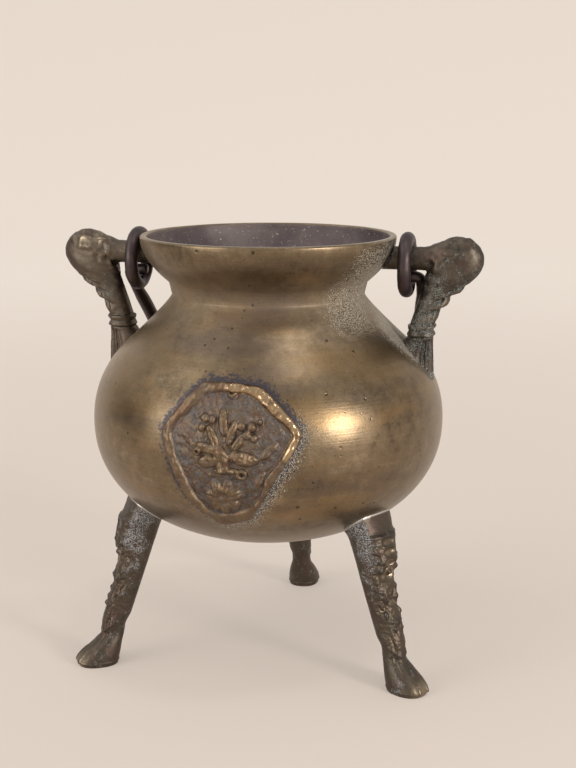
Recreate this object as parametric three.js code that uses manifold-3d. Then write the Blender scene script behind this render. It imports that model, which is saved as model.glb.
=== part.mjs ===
// A small three-legged bronze cauldron with two looped shoulder handles, two loose rings and a
// swinging bail. Millimetres, +Z up, handles along X, medallion towards -Y.
// The vessel is hollow. The legs, the handles and the medallion were cast apart and soldered on, so
// each is a solid of its own that stops a solder gap short of the vessel.

import * as THREE from 'three';
import { mergeVertices } from 'three/addons/utils/BufferGeometryUtils.js';
import Module from 'manifold-3d';

const wasm = await Module();
wasm.setup();

// Vessel, from the ground up
const bellyMidHeight = 98.5;
const bellyRadius = 70.7;
const bellyDrop = 48.6;         // from the widest place down to the base
const bellyRise = 49.3;         // and up to where the belly curve would close
const bellyFullness = 2.15;     // 2 is a plain ellipse
const shoulderTurn = 0.68;      // angle on the belly curve where the shoulder leaves it
const baseFlatRadius = 13;
const neckRise = 50.5;          // from the widest place up to the waist of the neck
const neckRadius = 38.6;
const neckBend = 2;
const flareRootRise = 5;        // from the waist of the neck up to the foot of the flare
const flareRootProud = 1.2;
const flareHeight = 18.3;
const flareFullness = 1.9;
const rimRadius = 51;
const wall = 2.8;
const lipRounding = 0.8;
const solderGap = 0.3;
const vesselSides = 36;

// Rings and bail, hung on the arms with a running clearance
const armRadius = 4.55;
const runningClearance = 0.3;
const hookRodRadius = 2.3;
const ringPlay = 0.85;
const ringRadialWidth = 5.2;
const ringAxialWidth = 5.4;
const ringRimGap = 1.3;
const carrierShift = 0.6;       // both rings and the bail lie this far towards +X
const ringSwing = 20;           // degrees the rings lean back at rest
const bailSag = 45;             // degrees the bail hangs below the horizontal at rest
const hookBend = 3.4;
const hookOverrun = 0.2;
const bailRodRadius = 2.8;
const bailBellyGap = 0.9;
const bailLegLength = 55;
const bailCrownReach = 8.5;     // from the back of the belly out to the crown
const hookThinRun = 8;          // how far past the hook the rod stays thin
const hookSwellRun = 14;        // and over what length it swells to the bail's radius

// Handles: a round arm out of the flare, a swelling head, a collar and a fluted foot
const armDrop = 8.3;            // from the rim down to the middle of the arm
const armInset = 1.8;
const headLength = 22;
const headClearance = 0.55;
const headRise = 0.3;           // above the rim
const headDepth = 9;
const headHalfWidth = 6.2;
const headCornerDrop = 1;       // from the underside of the arm to the inner corner
const headInnerRun = 8;         // how far the inner corner runs down while the head swings round
const headFirstTurn = 118;      // degrees, where the head's swing starts, over the arm
const headLastTurn = -50;       // and where it ends, over the stem
const stemHalfWidth = 5;
const stemHollow = 2.6;
const stemKnuckle = 0.7;
const stemLean = 6.2;
const stemEndProud = 0.6;
const stemEndGap = 1.2;         // from the collar's upper bead to the foot of the stem
const collarDrop = 13;          // from the waist of the neck
const collarHalfWidth = 5.9;
const collarBead = 1.6;
const collarProud = 0.9;
const footInset = 4.3;          // from the belly's widest radius
const footHalfWidth = 8.4;
const footLength = 20.5;
const footDepth = 15;
const footNeckInset = 0.4;
const fluteCount = 5;
const fluteDepth = 0.07;

// Legs
const legAzimuths = { leg_left: 210, leg_right: 330, leg_back: 90 };
const legSeatDrop = 32.5;       // from the belly's widest place down to the top of the leg
const legSeatInset = 11.7;      // from the belly's widest radius in to the top of the leg
const legRoot = 6;
const legDepth = 17.4;
const legHalfWidth = 11;
const capHeight = 5.2;
const capSpread = 2;
const capEdge = 1;
const capThinning = 0.4;
const capInnerLean = 0.3;       // how far its inner side leans in for each unit of height
const kneeInset = 7.9;
const kneeSwell = 1.6;
const leafCount = 3;
const leafProud = 0.7;
const leafGap = 0.5;            // from the cap block down to the first leaf
const leafInset = 4;            // on the inner side
const leafThinning = 1.6;
const leafStop = 7.5;           // above the ankle
const calfInset = 5.2;
const calfSwell = 0.9;
const ankleHeight = 12.5;
const ankleReach = 70.9;
const ankleDepth = 8.8;
const ankleHalfWidth = 4.1;
const ankleRise = 4;
const ankleSwell = 0.6;
const heelReach = 64.6;
const toeReach = 82;
const toeHeight = 5.4;
const toeHalfWidth = 7;
const toeSlope = 3.2;
const toeTaper = 0.5;
const heelHollow = 1.4;
const heelTuck = 0.8;
const soleInset = 0.4;
const soleToeInset = 1;
const beadRadius = 1.9;
const beadGap = 0.3;
const beadCount = 4;
const beadProud = 0.9;
const beadTopGap = 2.2;

// Medallion, laid on the belly: across and up from the belly's widest place. It is a little
// crooked, as it was cut by hand, so its corners are given one by one, clockwise from the top.
const medallionCorners = [
  [13.5, 24.1], [27.8, 9.4], [18.8, -6.2], [9.3, -22.6], [-4.2, -25.8],
  [-14.6, -15.8], [-20.3, -3], [-23.8, 9.3], [-10.5, 25],
];
const medallionMiddle = [2, 1];
const cornerRounding = 0.22;
const plateThickness = 1.3;
const borderHeight = 3.1;
const borderWidth = 0.18;       // as a share of the way to the medallion's middle
const borderRounding = 0.5;
const petalHeight = 1.5;

// What follows from the sizes above
const neckHeight = bellyMidHeight + neckRise;
const flareRootHeight = neckHeight + flareRootRise;
const flareRootRadius = neckRadius + flareRootProud;
const rimHeight = flareRootHeight + flareHeight;
const armHeight = rimHeight - armDrop;
const ringHoleRadius = armRadius + hookRodRadius + ringPlay;
const ringReach = rimRadius + ringRimGap + ringAxialWidth / 2;
const hookReach = ringReach + ringAxialWidth / 2 + runningClearance + hookRodRadius;
const headStart = hookReach + carrierShift + hookRodRadius + headClearance;
const collarHeight = neckHeight - collarDrop;
const footReach = bellyRadius - footInset;
const legTopHeight = bellyMidHeight - legSeatDrop;
const legTopReach = bellyRadius - legSeatInset;
const kneeReach = bellyRadius - kneeInset;

const radians = THREE.MathUtils.degToRad;
const tints = { vessel: 0x8a6f3e, dark: 0x4a3d2c, leg: 0x6e5a3a, plaque: 0xa57a45, iron: 0x3c3030 };

// Turns a closed list of corners and triangles the right way out
function closedGeometry(corners, faces) {
  let volume = 0;
  for (const [a, b, c] of faces) {
    volume += corners[a].dot(new THREE.Vector3().crossVectors(corners[b], corners[c]));
  }
  const ordered = volume > 0 ? faces : faces.map(([a, b, c]) => [a, c, b]);
  const geometry = new THREE.BufferGeometry();
  geometry.setAttribute('position', new THREE.Float32BufferAttribute(corners.flatMap(p => [p.x, p.y, p.z]), 3));
  geometry.setIndex(ordered.flat());
  geometry.computeVertexNormals();
  return geometry;
}

// Skins a row of sections that have the same number of corners, with a cap on each end
function loft(sections, looped = false) {
  const count = sections[0].length;
  const corners = sections.flat();
  const faces = [];
  const spans = looped ? sections.length : sections.length - 1;
  for (let i = 0; i < spans; i++) {
    const here = i * count;
    const next = ((i + 1) % sections.length) * count;
    for (let j = 0; j < count; j++) {
      const k = (j + 1) % count;
      faces.push([here + j, here + k, next + k], [here + j, next + k, next + j]);
    }
  }
  if (!looped) {
    for (const [start, turned] of [[0, true], [(sections.length - 1) * count, false]]) {
      const middle = new THREE.Vector3();
      for (let j = 0; j < count; j++) middle.addScaledVector(corners[start + j], 1 / count);
      const hub = corners.push(middle) - 1;
      for (let j = 0; j < count; j++) {
        const k = (j + 1) % count;
        faces.push(turned ? [start + k, start + j, hub] : [start + j, start + k, hub]);
      }
    }
  }
  return closedGeometry(corners, faces);
}

function toSolid(geometry) {
  const bare = geometry.clone();
  bare.deleteAttribute('normal');
  bare.deleteAttribute('uv');
  const merged = mergeVertices(bare, 1e-4);
  const vertProperties = new Float32Array(merged.attributes.position.array);
  const triVerts = new Uint32Array(merged.index.array);
  return new wasm.Manifold(new wasm.Mesh({ numProp: 3, vertProperties, triVerts }));
}

function toGeometry(solid) {
  const mesh = solid.getMesh();
  const geometry = new THREE.BufferGeometry();
  geometry.setAttribute('position', new THREE.BufferAttribute(new Float32Array(mesh.vertProperties), 3));
  geometry.setIndex(new THREE.BufferAttribute(new Uint32Array(mesh.triVerts), 1));
  geometry.computeVertexNormals();
  return geometry;
}

function node(name, geometry, color, roughness, metalness) {
  const mesh = new THREE.Mesh(geometry, new THREE.MeshStandardMaterial({ color, roughness, metalness }));
  mesh.name = name;
  return mesh;
}

// A point of the belly curve: turn runs from -90 degrees at the base to +90 at the top
function bellyPoint(turn) {
  const power = 2 / bellyFullness;
  const rise = turn < 0 ? -bellyDrop : bellyRise;
  const radius = bellyRadius * Math.cos(turn) ** power;
  return new THREE.Vector2(radius, bellyMidHeight + rise * Math.abs(Math.sin(turn)) ** power);
}

function bellyRadiusAt(height) {
  const offset = height - bellyMidHeight;
  const reach = Math.abs(offset) / (offset < 0 ? bellyDrop : bellyRise);
  return bellyRadius * (1 - reach ** bellyFullness) ** (1 / bellyFullness);
}

// Outside of the vessel from the edge of its flat base up to the rim
function vesselOutline(bellySteps, neckSteps, flareSteps) {
  const points = [];
  const baseTurn = -Math.acos((baseFlatRadius / bellyRadius) ** (bellyFullness / 2));
  for (let i = 0; i <= bellySteps; i++) {
    points.push(bellyPoint(THREE.MathUtils.lerp(baseTurn, shoulderTurn, i / bellySteps)));
  }
  const shoulder = points[points.length - 1];
  const before = bellyPoint(shoulderTurn - 0.05);
  const slope = (shoulder.y - before.y) / (shoulder.x - before.x);
  const bendHeight = shoulder.y + slope * (neckRadius - shoulder.x);
  const bend = new THREE.Vector2(neckRadius, Math.min(bendHeight, neckHeight - neckBend));
  const neck = new THREE.QuadraticBezierCurve(shoulder, bend, new THREE.Vector2(neckRadius, neckHeight));
  points.push(...neck.getPoints(neckSteps).slice(1));
  for (let i = 0; i <= flareSteps; i++) {
    const rise = i / flareSteps;
    const spread = 1 - (1 - rise) ** flareFullness;
    const radius = THREE.MathUtils.lerp(flareRootRadius, rimRadius, spread);
    points.push(new THREE.Vector2(radius, THREE.MathUtils.lerp(flareRootHeight, rimHeight - lipRounding, rise)));
  }
  return points;
}

// Moves an outline sideways along its own normals: out for a positive distance, in for a negative one
function offsetOutline(points, distance) {
  return points.map((point, i) => {
    const before = points[Math.max(i - 1, 0)];
    const after = points[Math.min(i + 1, points.length - 1)];
    const along = new THREE.Vector2().subVectors(after, before).normalize();
    return new THREE.Vector2(point.x + along.y * distance, point.y - along.x * distance);
  });
}

function turned(profile) {
  return new THREE.LatheGeometry(profile, vesselSides).rotateX(Math.PI / 2);
}

function vesselGeometry() {
  const outside = vesselOutline(12, 4, 5);
  const inside = offsetOutline(vesselOutline(6, 3, 3), -wall).filter(point => point.x > 0).reverse();
  const floor = outside[0].y;
  const lip = [
    new THREE.Vector2(rimRadius - lipRounding, rimHeight),
    new THREE.Vector2(inside[0].x + lipRounding, rimHeight),
  ];
  return turned([new THREE.Vector2(0, floor), ...outside, ...lip, ...inside, new THREE.Vector2(0, floor + wall)]);
}

// The vessel's outside as a full solid, swollen by the solder gap, that trims what is soldered on
function vesselTrimmer() {
  const swollen = offsetOutline(vesselOutline(12, 4, 5), solderGap);
  const top = swollen[swollen.length - 1];
  const profile = [new THREE.Vector2(0, swollen[0].y), ...swollen];
  profile.push(new THREE.Vector2(top.x, rimHeight + solderGap), new THREE.Vector2(0, rimHeight + solderGap));
  return toSolid(turned(profile));
}

// A flattened round section between an inner and an outer point of the radial plane XZ.
// Flutes ripple the part of it that faces outwards.
function spokeSection({ inner, outer, half, square = 2, flutes = 0, depth = 0 }, sides) {
  const middle = new THREE.Vector2().addVectors(inner, outer).multiplyScalar(0.5);
  const spoke = new THREE.Vector2().subVectors(outer, inner).multiplyScalar(0.5);
  const section = [];
  for (let j = 0; j < sides; j++) {
    const angle = (j / sides) * 2 * Math.PI;
    const power = 2 / square;
    const along = Math.sign(Math.cos(angle)) * Math.abs(Math.cos(angle)) ** power;
    const across = Math.sign(Math.sin(angle)) * Math.abs(Math.sin(angle)) ** power;
    const ripple = 1 - depth * (0.5 - 0.5 * Math.cos(flutes * angle)) * Math.max(Math.cos(angle / 2) ** 2, 0.4);
    section.push(new THREE.Vector3(
      middle.x + spoke.x * along * ripple,
      half * across * ripple,
      middle.y + spoke.y * along * ripple,
    ));
  }
  return section;
}

const at = (x, z) => new THREE.Vector2(x, z);

// One handle in the XZ plane, standing on the +X side of the vessel
function handleGeometry(trimmer) {
  const armTop = armHeight + armRadius;
  const armUnder = armHeight - armRadius;
  const armEnd = headStart - headClearance;
  const armBegin = rimRadius - armInset;
  const stations = [
    { inner: at(armBegin, armUnder), outer: at(armBegin, armTop), half: armRadius },
    { inner: at(armEnd, armUnder), outer: at(armEnd, armTop), half: armRadius },
  ];
  // The head swings round the inner corner from the top of the arm to the top of the stem
  const headTop = rimHeight + headRise;
  const headMid = at(headStart + headLength * 0.55, headTop - headDepth);
  const headReach = headLength * 0.45;
  const cornerTop = armUnder - headCornerDrop;
  const headSteps = 9;
  for (let i = 0; i <= headSteps; i++) {
    const share = i / headSteps;
    const angle = radians(THREE.MathUtils.lerp(headFirstTurn, headLastTurn, share));
    const outer = at(headMid.x + headReach * Math.cos(angle), headMid.y + headDepth * Math.sin(angle));
    const inner = at(headStart, cornerTop - headInnerRun * share);
    const swell = THREE.MathUtils.lerp(armRadius, headHalfWidth, Math.sin(Math.min(share * 1.3, 0.5) * Math.PI));
    stations.push({ inner, outer, half: share > 0.8 ? (swell + stemHalfWidth) / 2 : swell });
  }
  // The stem leans in to the collar, knuckled on its outer side
  const stemTop = stations[stations.length - 1];
  const stemFoot = collarHeight + collarBead + stemEndGap;
  const stemEnd = { inner: at(headStart - stemLean, stemFoot), outer: at(footReach + stemEndProud, stemFoot) };
  const stemSteps = 5;
  for (let i = 1; i <= stemSteps; i++) {
    const share = i / stemSteps;
    const knuckle = i % 2 ? stemKnuckle : -stemKnuckle;
    const outer = new THREE.Vector2().lerpVectors(stemTop.outer, stemEnd.outer, share);
    outer.x += knuckle - stemHollow * Math.sin(share * Math.PI);
    const inner = new THREE.Vector2().lerpVectors(stemTop.inner, stemEnd.inner, share);
    stations.push({ inner, outer, half: stemHalfWidth + knuckle * 0.3, square: 2.3 });
  }
  // Two beads round the collar
  for (const side of [1, 0, -1]) {
    const proud = collarProud * Math.abs(side);
    stations.push({
      inner: at(headStart - stemLean - collarProud, collarHeight + side * collarBead),
      outer: at(footReach + proud, collarHeight + side * collarBead),
      half: collarHalfWidth + proud / 2,
      square: 2.6,
    });
  }
  // The fluted foot spreads down over the shoulder
  const footSteps = 4;
  const footTop = collarHeight - 2 * collarBead;
  for (let i = 0; i <= footSteps; i++) {
    const share = i / footSteps;
    const height = footTop - footLength * share;
    stations.push({
      inner: at(footReach - footDepth, height),
      outer: at(footReach + collarProud * share, height),
      half: THREE.MathUtils.lerp(collarHalfWidth - footNeckInset, footHalfWidth, share ** 0.8),
      square: 2.4,
      flutes: 2 * fluteCount,
      depth: fluteDepth,
    });
  }
  const body = toSolid(loft(stations.map(station => spokeSection(station, 16))));
  return toGeometry(body.subtract(trimmer));
}

// One leg in the XZ plane, toe towards +X
function legGeometry(trimmer) {
  const legInner = legTopReach - legDepth;
  const capFoot = legTopHeight - capHeight;
  // The plain cap block, whose root runs on into the belly until it is trimmed
  const capRows = [
    [legRoot, -capSpread, 0],
    [0, 0, 0],
    [-capHeight / 2, capSpread * 0.6, 0],
    [capEdge - capHeight, capSpread, capThinning],
  ];
  const stations = capRows
    .map(([rise, spread, thinner]) => ({
      inner: at(legInner - capInnerLean * rise, legTopHeight + rise),
      outer: at(legTopReach + spread, legTopHeight + rise),
      half: legHalfWidth - thinner,
      square: 3,
    }));
  // Scalloped leaves from under the cap block down to the ankle
  const leafTop = capFoot - leafGap;
  const leafBottom = ankleHeight + leafStop;
  const leafSteps = 4 * leafCount;
  for (let i = 0; i <= leafSteps; i++) {
    const share = i / leafSteps;
    const height = THREE.MathUtils.lerp(leafTop, leafBottom, share);
    const lobe = Math.abs(Math.sin(share * Math.PI * leafCount)) - 0.5;
    const waist = kneeReach + kneeSwell * Math.sin(Math.min(share * 2.2, 1) * Math.PI);
    const outer = at(THREE.MathUtils.lerp(waist, ankleReach, share ** 2.2) + leafProud * lobe, height);
    const inner = at(THREE.MathUtils.lerp(legInner + leafInset, heelReach - calfInset, share), height);
    const taper = THREE.MathUtils.lerp(legHalfWidth - leafThinning, ankleHalfWidth + calfSwell, share ** 0.62);
    stations.push({ inner, outer, half: taper + 0.7 * leafProud * lobe, square: 2.5 });
  }
  // Ankle, instep, toe and sole, each as its height, how far heel and toe reach, and its half width
  const ankleInner = ankleReach - ankleDepth;
  const instepHeight = (ankleHeight + toeHeight) / 2;
  const shoe = [
    [ankleHeight + ankleRise, ankleInner - ankleSwell, ankleReach + ankleSwell, ankleHalfWidth],
    [ankleHeight, ankleInner, ankleReach, ankleHalfWidth],
    [instepHeight, heelReach - heelHollow, (ankleReach * 2 + toeReach) / 3, (ankleHalfWidth + toeHalfWidth) / 2],
    [toeHeight, heelReach - heelTuck, toeReach - toeSlope, toeHalfWidth - toeTaper],
    [toeHeight * 0.4, heelReach, toeReach, toeHalfWidth],
    [0, heelReach + soleInset, toeReach - soleToeInset, toeHalfWidth - soleInset],
  ];
  for (const [height, heel, toe, half] of shoe) {
    stations.push({ inner: at(heel, height), outer: at(toe, height), half, square: 2.3 });
  }
  let body = toSolid(loft(stations.map(station => spokeSection(station, 12))));
  for (let i = 0; i < beadCount; i++) {
    const bead = new THREE.OctahedronGeometry(beadRadius, 1);
    bead.translate(kneeReach + beadProud, 0, leafTop - beadTopGap - i * (2 * beadRadius + beadGap));
    body = body.add(toSolid(bead));
  }
  return toGeometry(body.subtract(trimmer));
}

// Height of the medallion's carving above its plate, at a place on the plate
function carving(across, up) {
  const petal = (x, y, length, width, lean) => {
    const c = Math.cos(radians(lean));
    const s = Math.sin(radians(lean));
    const u = ((across - x) * c + (up - y) * s) / width;
    const v = (-(across - x) * s + (up - y) * c) / length;
    return Math.sqrt(Math.max(1 - u * u - v * v, 0));
  };
  // A knob, two flowers with a leaf between them, two arms and two lobes on a stem, and a rosette
  const bunch = [
    [2.2, 22.4, 1.7, 1.7, 0], [-5.6, 12.6, 2.8, 3, 0], [8.8, 10.6, 3.2, 3.4, 0], [0.6, 13, 4.6, 2, 4],
    [-5.7, 3.8, 1.8, 4, -16], [8.2, 0.4, 2.3, 4.6, -8], [-5.3, -0.8, 2.2, 3.2, 0], [-0.2, -0.6, 5.4, 2, 0],
    [6.6, -4.8, 2.2, 2.2, 0], [0.6, -3.6, 1.2, 3.8, 0], [-0.5, -14, 6.2, 6.4, 0],
  ];
  let height = 0;
  for (const [x, y, length, width, lean] of bunch) {
    height = Math.max(height, petal(x, y, length, width, lean));
  }
  return height;
}

// A place on the belly: across and up are measured from its widest place at the front
function onBelly(across, up, lift) {
  const height = bellyMidHeight + up;
  const radius = bellyRadiusAt(height);
  const lean = Math.atan(bellyRadiusAt(height + 0.5) - bellyRadiusAt(height - 0.5));
  const angle = across / bellyRadius - Math.PI / 2;
  const reach = radius + lift * Math.cos(lean);
  return new THREE.Vector3(reach * Math.cos(angle), reach * Math.sin(angle), height - lift * Math.sin(lean));
}

function medallionGeometry(trimmer) {
  const knots = medallionCorners.map(([x, y]) => new THREE.Vector3(x, y, 0));
  const outline = new THREE.CatmullRomCurve3(knots, true, 'catmullrom', cornerRounding);
  const around = outline.getPoints(38).slice(0, -1);
  const middle = new THREE.Vector3(...medallionMiddle, 0);
  const base = plateThickness + solderGap;
  const top = borderHeight + solderGap;
  // Each row is a share of the outline and its height, from the middle of the back to the border
  const rows = [[0.5, -wall], [1, -wall], [1, base], [1 - borderWidth * 0.15, top - borderRounding]];
  rows.push([1 - borderWidth * 0.45, top], [1 - borderWidth * 0.75, top - borderRounding]);
  const edgeRows = rows.length;
  const fieldRows = 9;
  for (let i = 0; i < fieldRows; i++) {
    rows.push([THREE.MathUtils.lerp(1 - borderWidth, 0.06, i / (fieldRows - 1)), base]);
  }
  const sections = rows.map(([share, lift], row) => around.map(point => {
    const place = middle.clone().lerp(point, share);
    const relief = row > edgeRows ? petalHeight * carving(place.x, place.y) : 0;
    return onBelly(place.x, place.y, lift + relief);
  }));
  return toGeometry(toSolid(loft(sections)).subtract(trimmer));
}

// A rod along a path in the XY plane, its radius given along the length
function rodGeometry(path, radiusAt, steps, sides) {
  const up = new THREE.Vector3(0, 0, 1);
  const sections = [];
  for (let i = 0; i <= steps; i++) {
    const share = i / steps;
    const point = path.getPointAt(share);
    const side = new THREE.Vector3().crossVectors(path.getTangentAt(share), up).normalize();
    const radius = radiusAt(path.getLength() * share);
    const section = [];
    for (let j = 0; j < sides; j++) {
      const angle = (j / sides) * 2 * Math.PI;
      section.push(point.clone()
        .addScaledVector(side, radius * Math.cos(angle))
        .addScaledVector(up, radius * Math.sin(angle)));
    }
    sections.push(section);
  }
  return loft(sections);
}

// The ring hugs the arm, and the bail's hook hugs the far side of the ring's hole
const ringDrop = ringHoleRadius - armRadius - runningClearance;
const hookDrop = ringDrop + ringHoleRadius - hookRodRadius - runningClearance;

function ringGeometry() {
  const tubeMiddle = ringHoleRadius + ringRadialWidth / 2;
  const sides = 8;
  const sections = [];
  const steps = 28;
  for (let i = 0; i < steps; i++) {
    const turn = (i / steps) * 2 * Math.PI;
    const section = [];
    for (let j = 0; j < sides; j++) {
      const angle = ((j + 0.5) / sides) * 2 * Math.PI;
      const reach = tubeMiddle + (ringRadialWidth / 2) * Math.cos(angle) / Math.cos(Math.PI / sides);
      const across = (ringAxialWidth / 2) * Math.sin(angle) / Math.cos(Math.PI / sides);
      section.push(new THREE.Vector3(across, reach * Math.cos(turn), reach * Math.sin(turn)));
    }
    sections.push(section);
  }
  return loft(sections, true);
}

// Where the bail's plane, at rest, passes the belly: how far to the side the rod has to stay to clear it
function sideClearOfBelly(along) {
  const sag = radians(bailSag);
  const swing = radians(ringSwing);
  const back = hookDrop * Math.sin(swing) + along * Math.cos(sag);
  const height = armHeight - hookDrop * Math.cos(swing) - along * Math.sin(sag);
  const reach = bailRodRadius + bailBellyGap;
  let side = 0;
  for (const lift of [-reach, -reach / 2, 0, reach / 2, reach]) {
    const offset = height + lift - bellyMidHeight;
    if (offset < -bellyDrop || offset > bellyRise) continue;
    const clear = bellyRadiusAt(height + lift) + Math.sqrt(reach ** 2 - lift ** 2);
    side = Math.max(side, Math.sqrt(Math.max(clear ** 2 - back ** 2, 0)));
  }
  return side;
}

// The bail lies in the XY plane here, hooks at the origin and bow towards +Y
function bailGeometry() {
  let legSpread = 0;
  let bellyEnd = 0;
  for (let along = 20; along < 3 * bellyRadius; along++) {
    const side = sideClearOfBelly(along);
    legSpread = Math.max(legSpread, side + carrierShift);
    if (side > 0) bellyEnd = along;
  }
  const length = bellyEnd + bailCrownReach;
  const bow = length - bailLegLength;
  const roundness = 0.5523;
  const tip = ringReach - ringAxialWidth / 2 - hookOverrun;
  const flat = (x, y) => new THREE.Vector3(x, y, 0);
  const legEnd = flat(legSpread, bailLegLength);
  const bendStart = flat(hookReach - hookBend, 0);
  const bendEnd = flat(hookReach, hookBend);
  const legLean = [flat(hookReach, bailLegLength * 0.3), flat(legSpread, bailLegLength * 0.4)];
  const path = new THREE.CurvePath();
  path.add(new THREE.LineCurve3(flat(tip, 0), bendStart));
  path.add(new THREE.QuadraticBezierCurve3(bendStart, flat(hookReach, 0), bendEnd));
  path.add(new THREE.CubicBezierCurve3(bendEnd, ...legLean, legEnd));
  const bowPulls = [flat(legSpread, bailLegLength + bow * roundness), flat(legSpread * roundness, length)];
  path.add(new THREE.CubicBezierCurve3(legEnd, ...bowPulls, flat(0, length)));
  // Half of the path is sampled closer together near the hook, then mirrored
  const samples = [];
  const steps = 24;
  for (let i = 0; i <= steps; i++) samples.push(path.getPointAt((i / steps) ** 1.35));
  const mirrored = samples.slice(0, -1).reverse().map(point => flat(-point.x, point.y));
  const whole = new THREE.CatmullRomCurve3([...samples, ...mirrored], false, 'centripetal');
  whole.arcLengthDivisions = 800;
  const total = whole.getLength();
  const thinEnd = hookReach - tip + hookThinRun;
  const radiusAt = place => {
    const swell = THREE.MathUtils.smoothstep(Math.min(place, total - place), thinEnd, thinEnd + hookSwellRun);
    return THREE.MathUtils.lerp(hookRodRadius, bailRodRadius, swell);
  };
  return rodGeometry(whole, radiusAt, 50, 8);
}

const pot = new THREE.Group();
const trimmer = vesselTrimmer();

pot.add(node('vessel', vesselGeometry(), tints.vessel, 0.38, 0.85));
pot.add(node('medallion', medallionGeometry(trimmer), tints.plaque, 0.45, 0.8));

for (const [name, azimuth] of Object.entries(legAzimuths)) {
  const leg = node(name, legGeometry(trimmer), tints.leg, 0.6, 0.7);
  leg.rotation.z = radians(azimuth);
  pot.add(leg);
}

for (const [name, azimuth] of [['handle_left', 180], ['handle_right', 0]]) {
  const handle = node(name, handleGeometry(trimmer), tints.dark, 0.6, 0.7);
  handle.rotation.z = radians(azimuth);
  pot.add(handle);
}

// Rings and bail swing together about the arms' common axis
const carrier = new THREE.Group();
carrier.position.set(carrierShift, 0, armHeight);
for (const [name, side] of [['ring_left', -1], ['ring_right', 1]]) {
  const ring = node(name, ringGeometry(), tints.iron, 0.5, 0.8);
  const lean = radians(ringSwing);
  ring.position.set(side * ringReach, ringDrop * Math.sin(lean), -ringDrop * Math.cos(lean));
  carrier.add(ring);
}
const bail = node('bail', bailGeometry(), tints.iron, 0.5, 0.8);
bail.position.set(0, hookDrop * Math.sin(radians(ringSwing)), -hookDrop * Math.cos(radians(ringSwing)));
bail.rotation.x = radians(-bailSag);
carrier.add(bail);
pot.add(carrier);

// The origin is on the ground in the middle of the whole part's box
const model = new THREE.Group();
model.add(pot);
const box = new THREE.Box3().setFromObject(pot, true);
pot.position.set(-(box.min.x + box.max.x) / 2, -(box.min.y + box.max.y) / 2, -box.min.z);

export default model;
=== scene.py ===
import math

import bpy
import numpy as np
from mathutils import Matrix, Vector, noise


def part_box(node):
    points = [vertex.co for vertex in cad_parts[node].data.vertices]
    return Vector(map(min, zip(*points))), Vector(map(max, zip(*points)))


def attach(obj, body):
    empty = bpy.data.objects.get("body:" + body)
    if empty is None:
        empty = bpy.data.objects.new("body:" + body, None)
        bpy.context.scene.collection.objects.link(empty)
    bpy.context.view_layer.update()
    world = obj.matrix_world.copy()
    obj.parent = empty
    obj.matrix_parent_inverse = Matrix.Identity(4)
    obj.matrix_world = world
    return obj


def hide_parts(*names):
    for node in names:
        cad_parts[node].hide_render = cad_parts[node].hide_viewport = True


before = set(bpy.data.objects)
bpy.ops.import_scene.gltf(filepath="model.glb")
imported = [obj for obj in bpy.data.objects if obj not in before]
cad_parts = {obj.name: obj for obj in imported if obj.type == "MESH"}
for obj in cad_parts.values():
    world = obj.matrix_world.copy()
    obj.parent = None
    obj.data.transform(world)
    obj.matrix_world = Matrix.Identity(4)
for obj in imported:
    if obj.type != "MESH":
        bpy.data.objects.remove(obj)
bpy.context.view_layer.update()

# Camera, standing a little to the right of the medallion and looking down on the pot, as the
# photographer did, at about half a metre.
camera_place = (0.1203, -0.5173, 0.224)
look_down = math.radians(12.08)
look_level = Vector((-0.2137, 0.9769, 0)).normalized()
camera_data = bpy.data.cameras.new("camera")
camera_data.sensor_width = 36
camera_data.lens = 62
camera = bpy.data.objects.new("camera", camera_data)
bpy.context.scene.collection.objects.link(camera)
camera.location = camera_place
look = look_level * math.cos(look_down) - Vector((0, 0, math.sin(look_down)))
camera.rotation_euler = look.to_track_quat("-Z", "Y").to_euler()
bpy.context.scene.camera = camera

# Table and backdrop in one pale sheet that curves up all round the pot. It glows with painted light of
# its own, so that the pot throws only faint shadows on it.


def raise_rings(name, sides, rings):
    """A round shell raised ring by ring, as on a wheel. Each ring is a radius and a height."""
    bpy.ops.object.select_all(action="DESELECT")
    radius, height = rings[0]
    bpy.ops.mesh.primitive_circle_add(vertices=sides, radius=radius, location=(0, 0, height))
    bpy.ops.object.mode_set(mode="EDIT")
    for wider, higher in rings[1:]:
        lift = (0, 0, higher - height)
        bpy.ops.mesh.extrude_region_move(TRANSFORM_OT_translate={"value": lift})
        spread = (wider / radius, wider / radius, 1)
        bpy.ops.transform.resize(value=spread, center_override=(0, 0, higher))
        radius, height = wider, higher
    bpy.ops.object.mode_set(mode="OBJECT")
    bpy.ops.object.transform_apply(location=True, rotation=True, scale=True)
    bpy.context.object.name = name
    return bpy.context.object


def close_ends(piece):
    """Welds what coincides, closes each open end with a fan and turns the faces outwards."""
    bpy.ops.object.select_all(action="DESELECT")
    piece.select_set(True)
    bpy.context.view_layer.objects.active = piece
    bpy.ops.object.mode_set(mode="EDIT")
    bpy.ops.mesh.select_all(action="SELECT")
    bpy.ops.mesh.remove_doubles(threshold=1e-6)
    bpy.ops.mesh.fill_holes(sides=0)
    bpy.ops.mesh.select_all(action="DESELECT")
    bpy.ops.mesh.select_face_by_sides(number=4, type="GREATER")
    bpy.ops.mesh.poke()
    bpy.ops.mesh.select_all(action="SELECT")
    bpy.ops.mesh.normals_make_consistent(inside=False)
    bpy.ops.object.mode_set(mode="OBJECT")
    bpy.ops.object.shade_smooth()


def add(tree, kind, inputs=None, **settings):
    """Adds a node, sets what is given for it, and links the inputs that come from other nodes."""
    made = tree.nodes.new(kind)
    for name, value in settings.items():
        setattr(made, name, value)
    for socket, value in (inputs or {}).items():
        if isinstance(value, bpy.types.NodeSocket):
            tree.links.new(value, made.inputs[socket])
        else:
            made.inputs[socket].default_value = value
    return made


def calculate(tree, operation, first, second=0.0):
    made = add(tree, "ShaderNodeMath", {0: first, 1: second}, operation=operation)
    return made.outputs[0]


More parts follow.
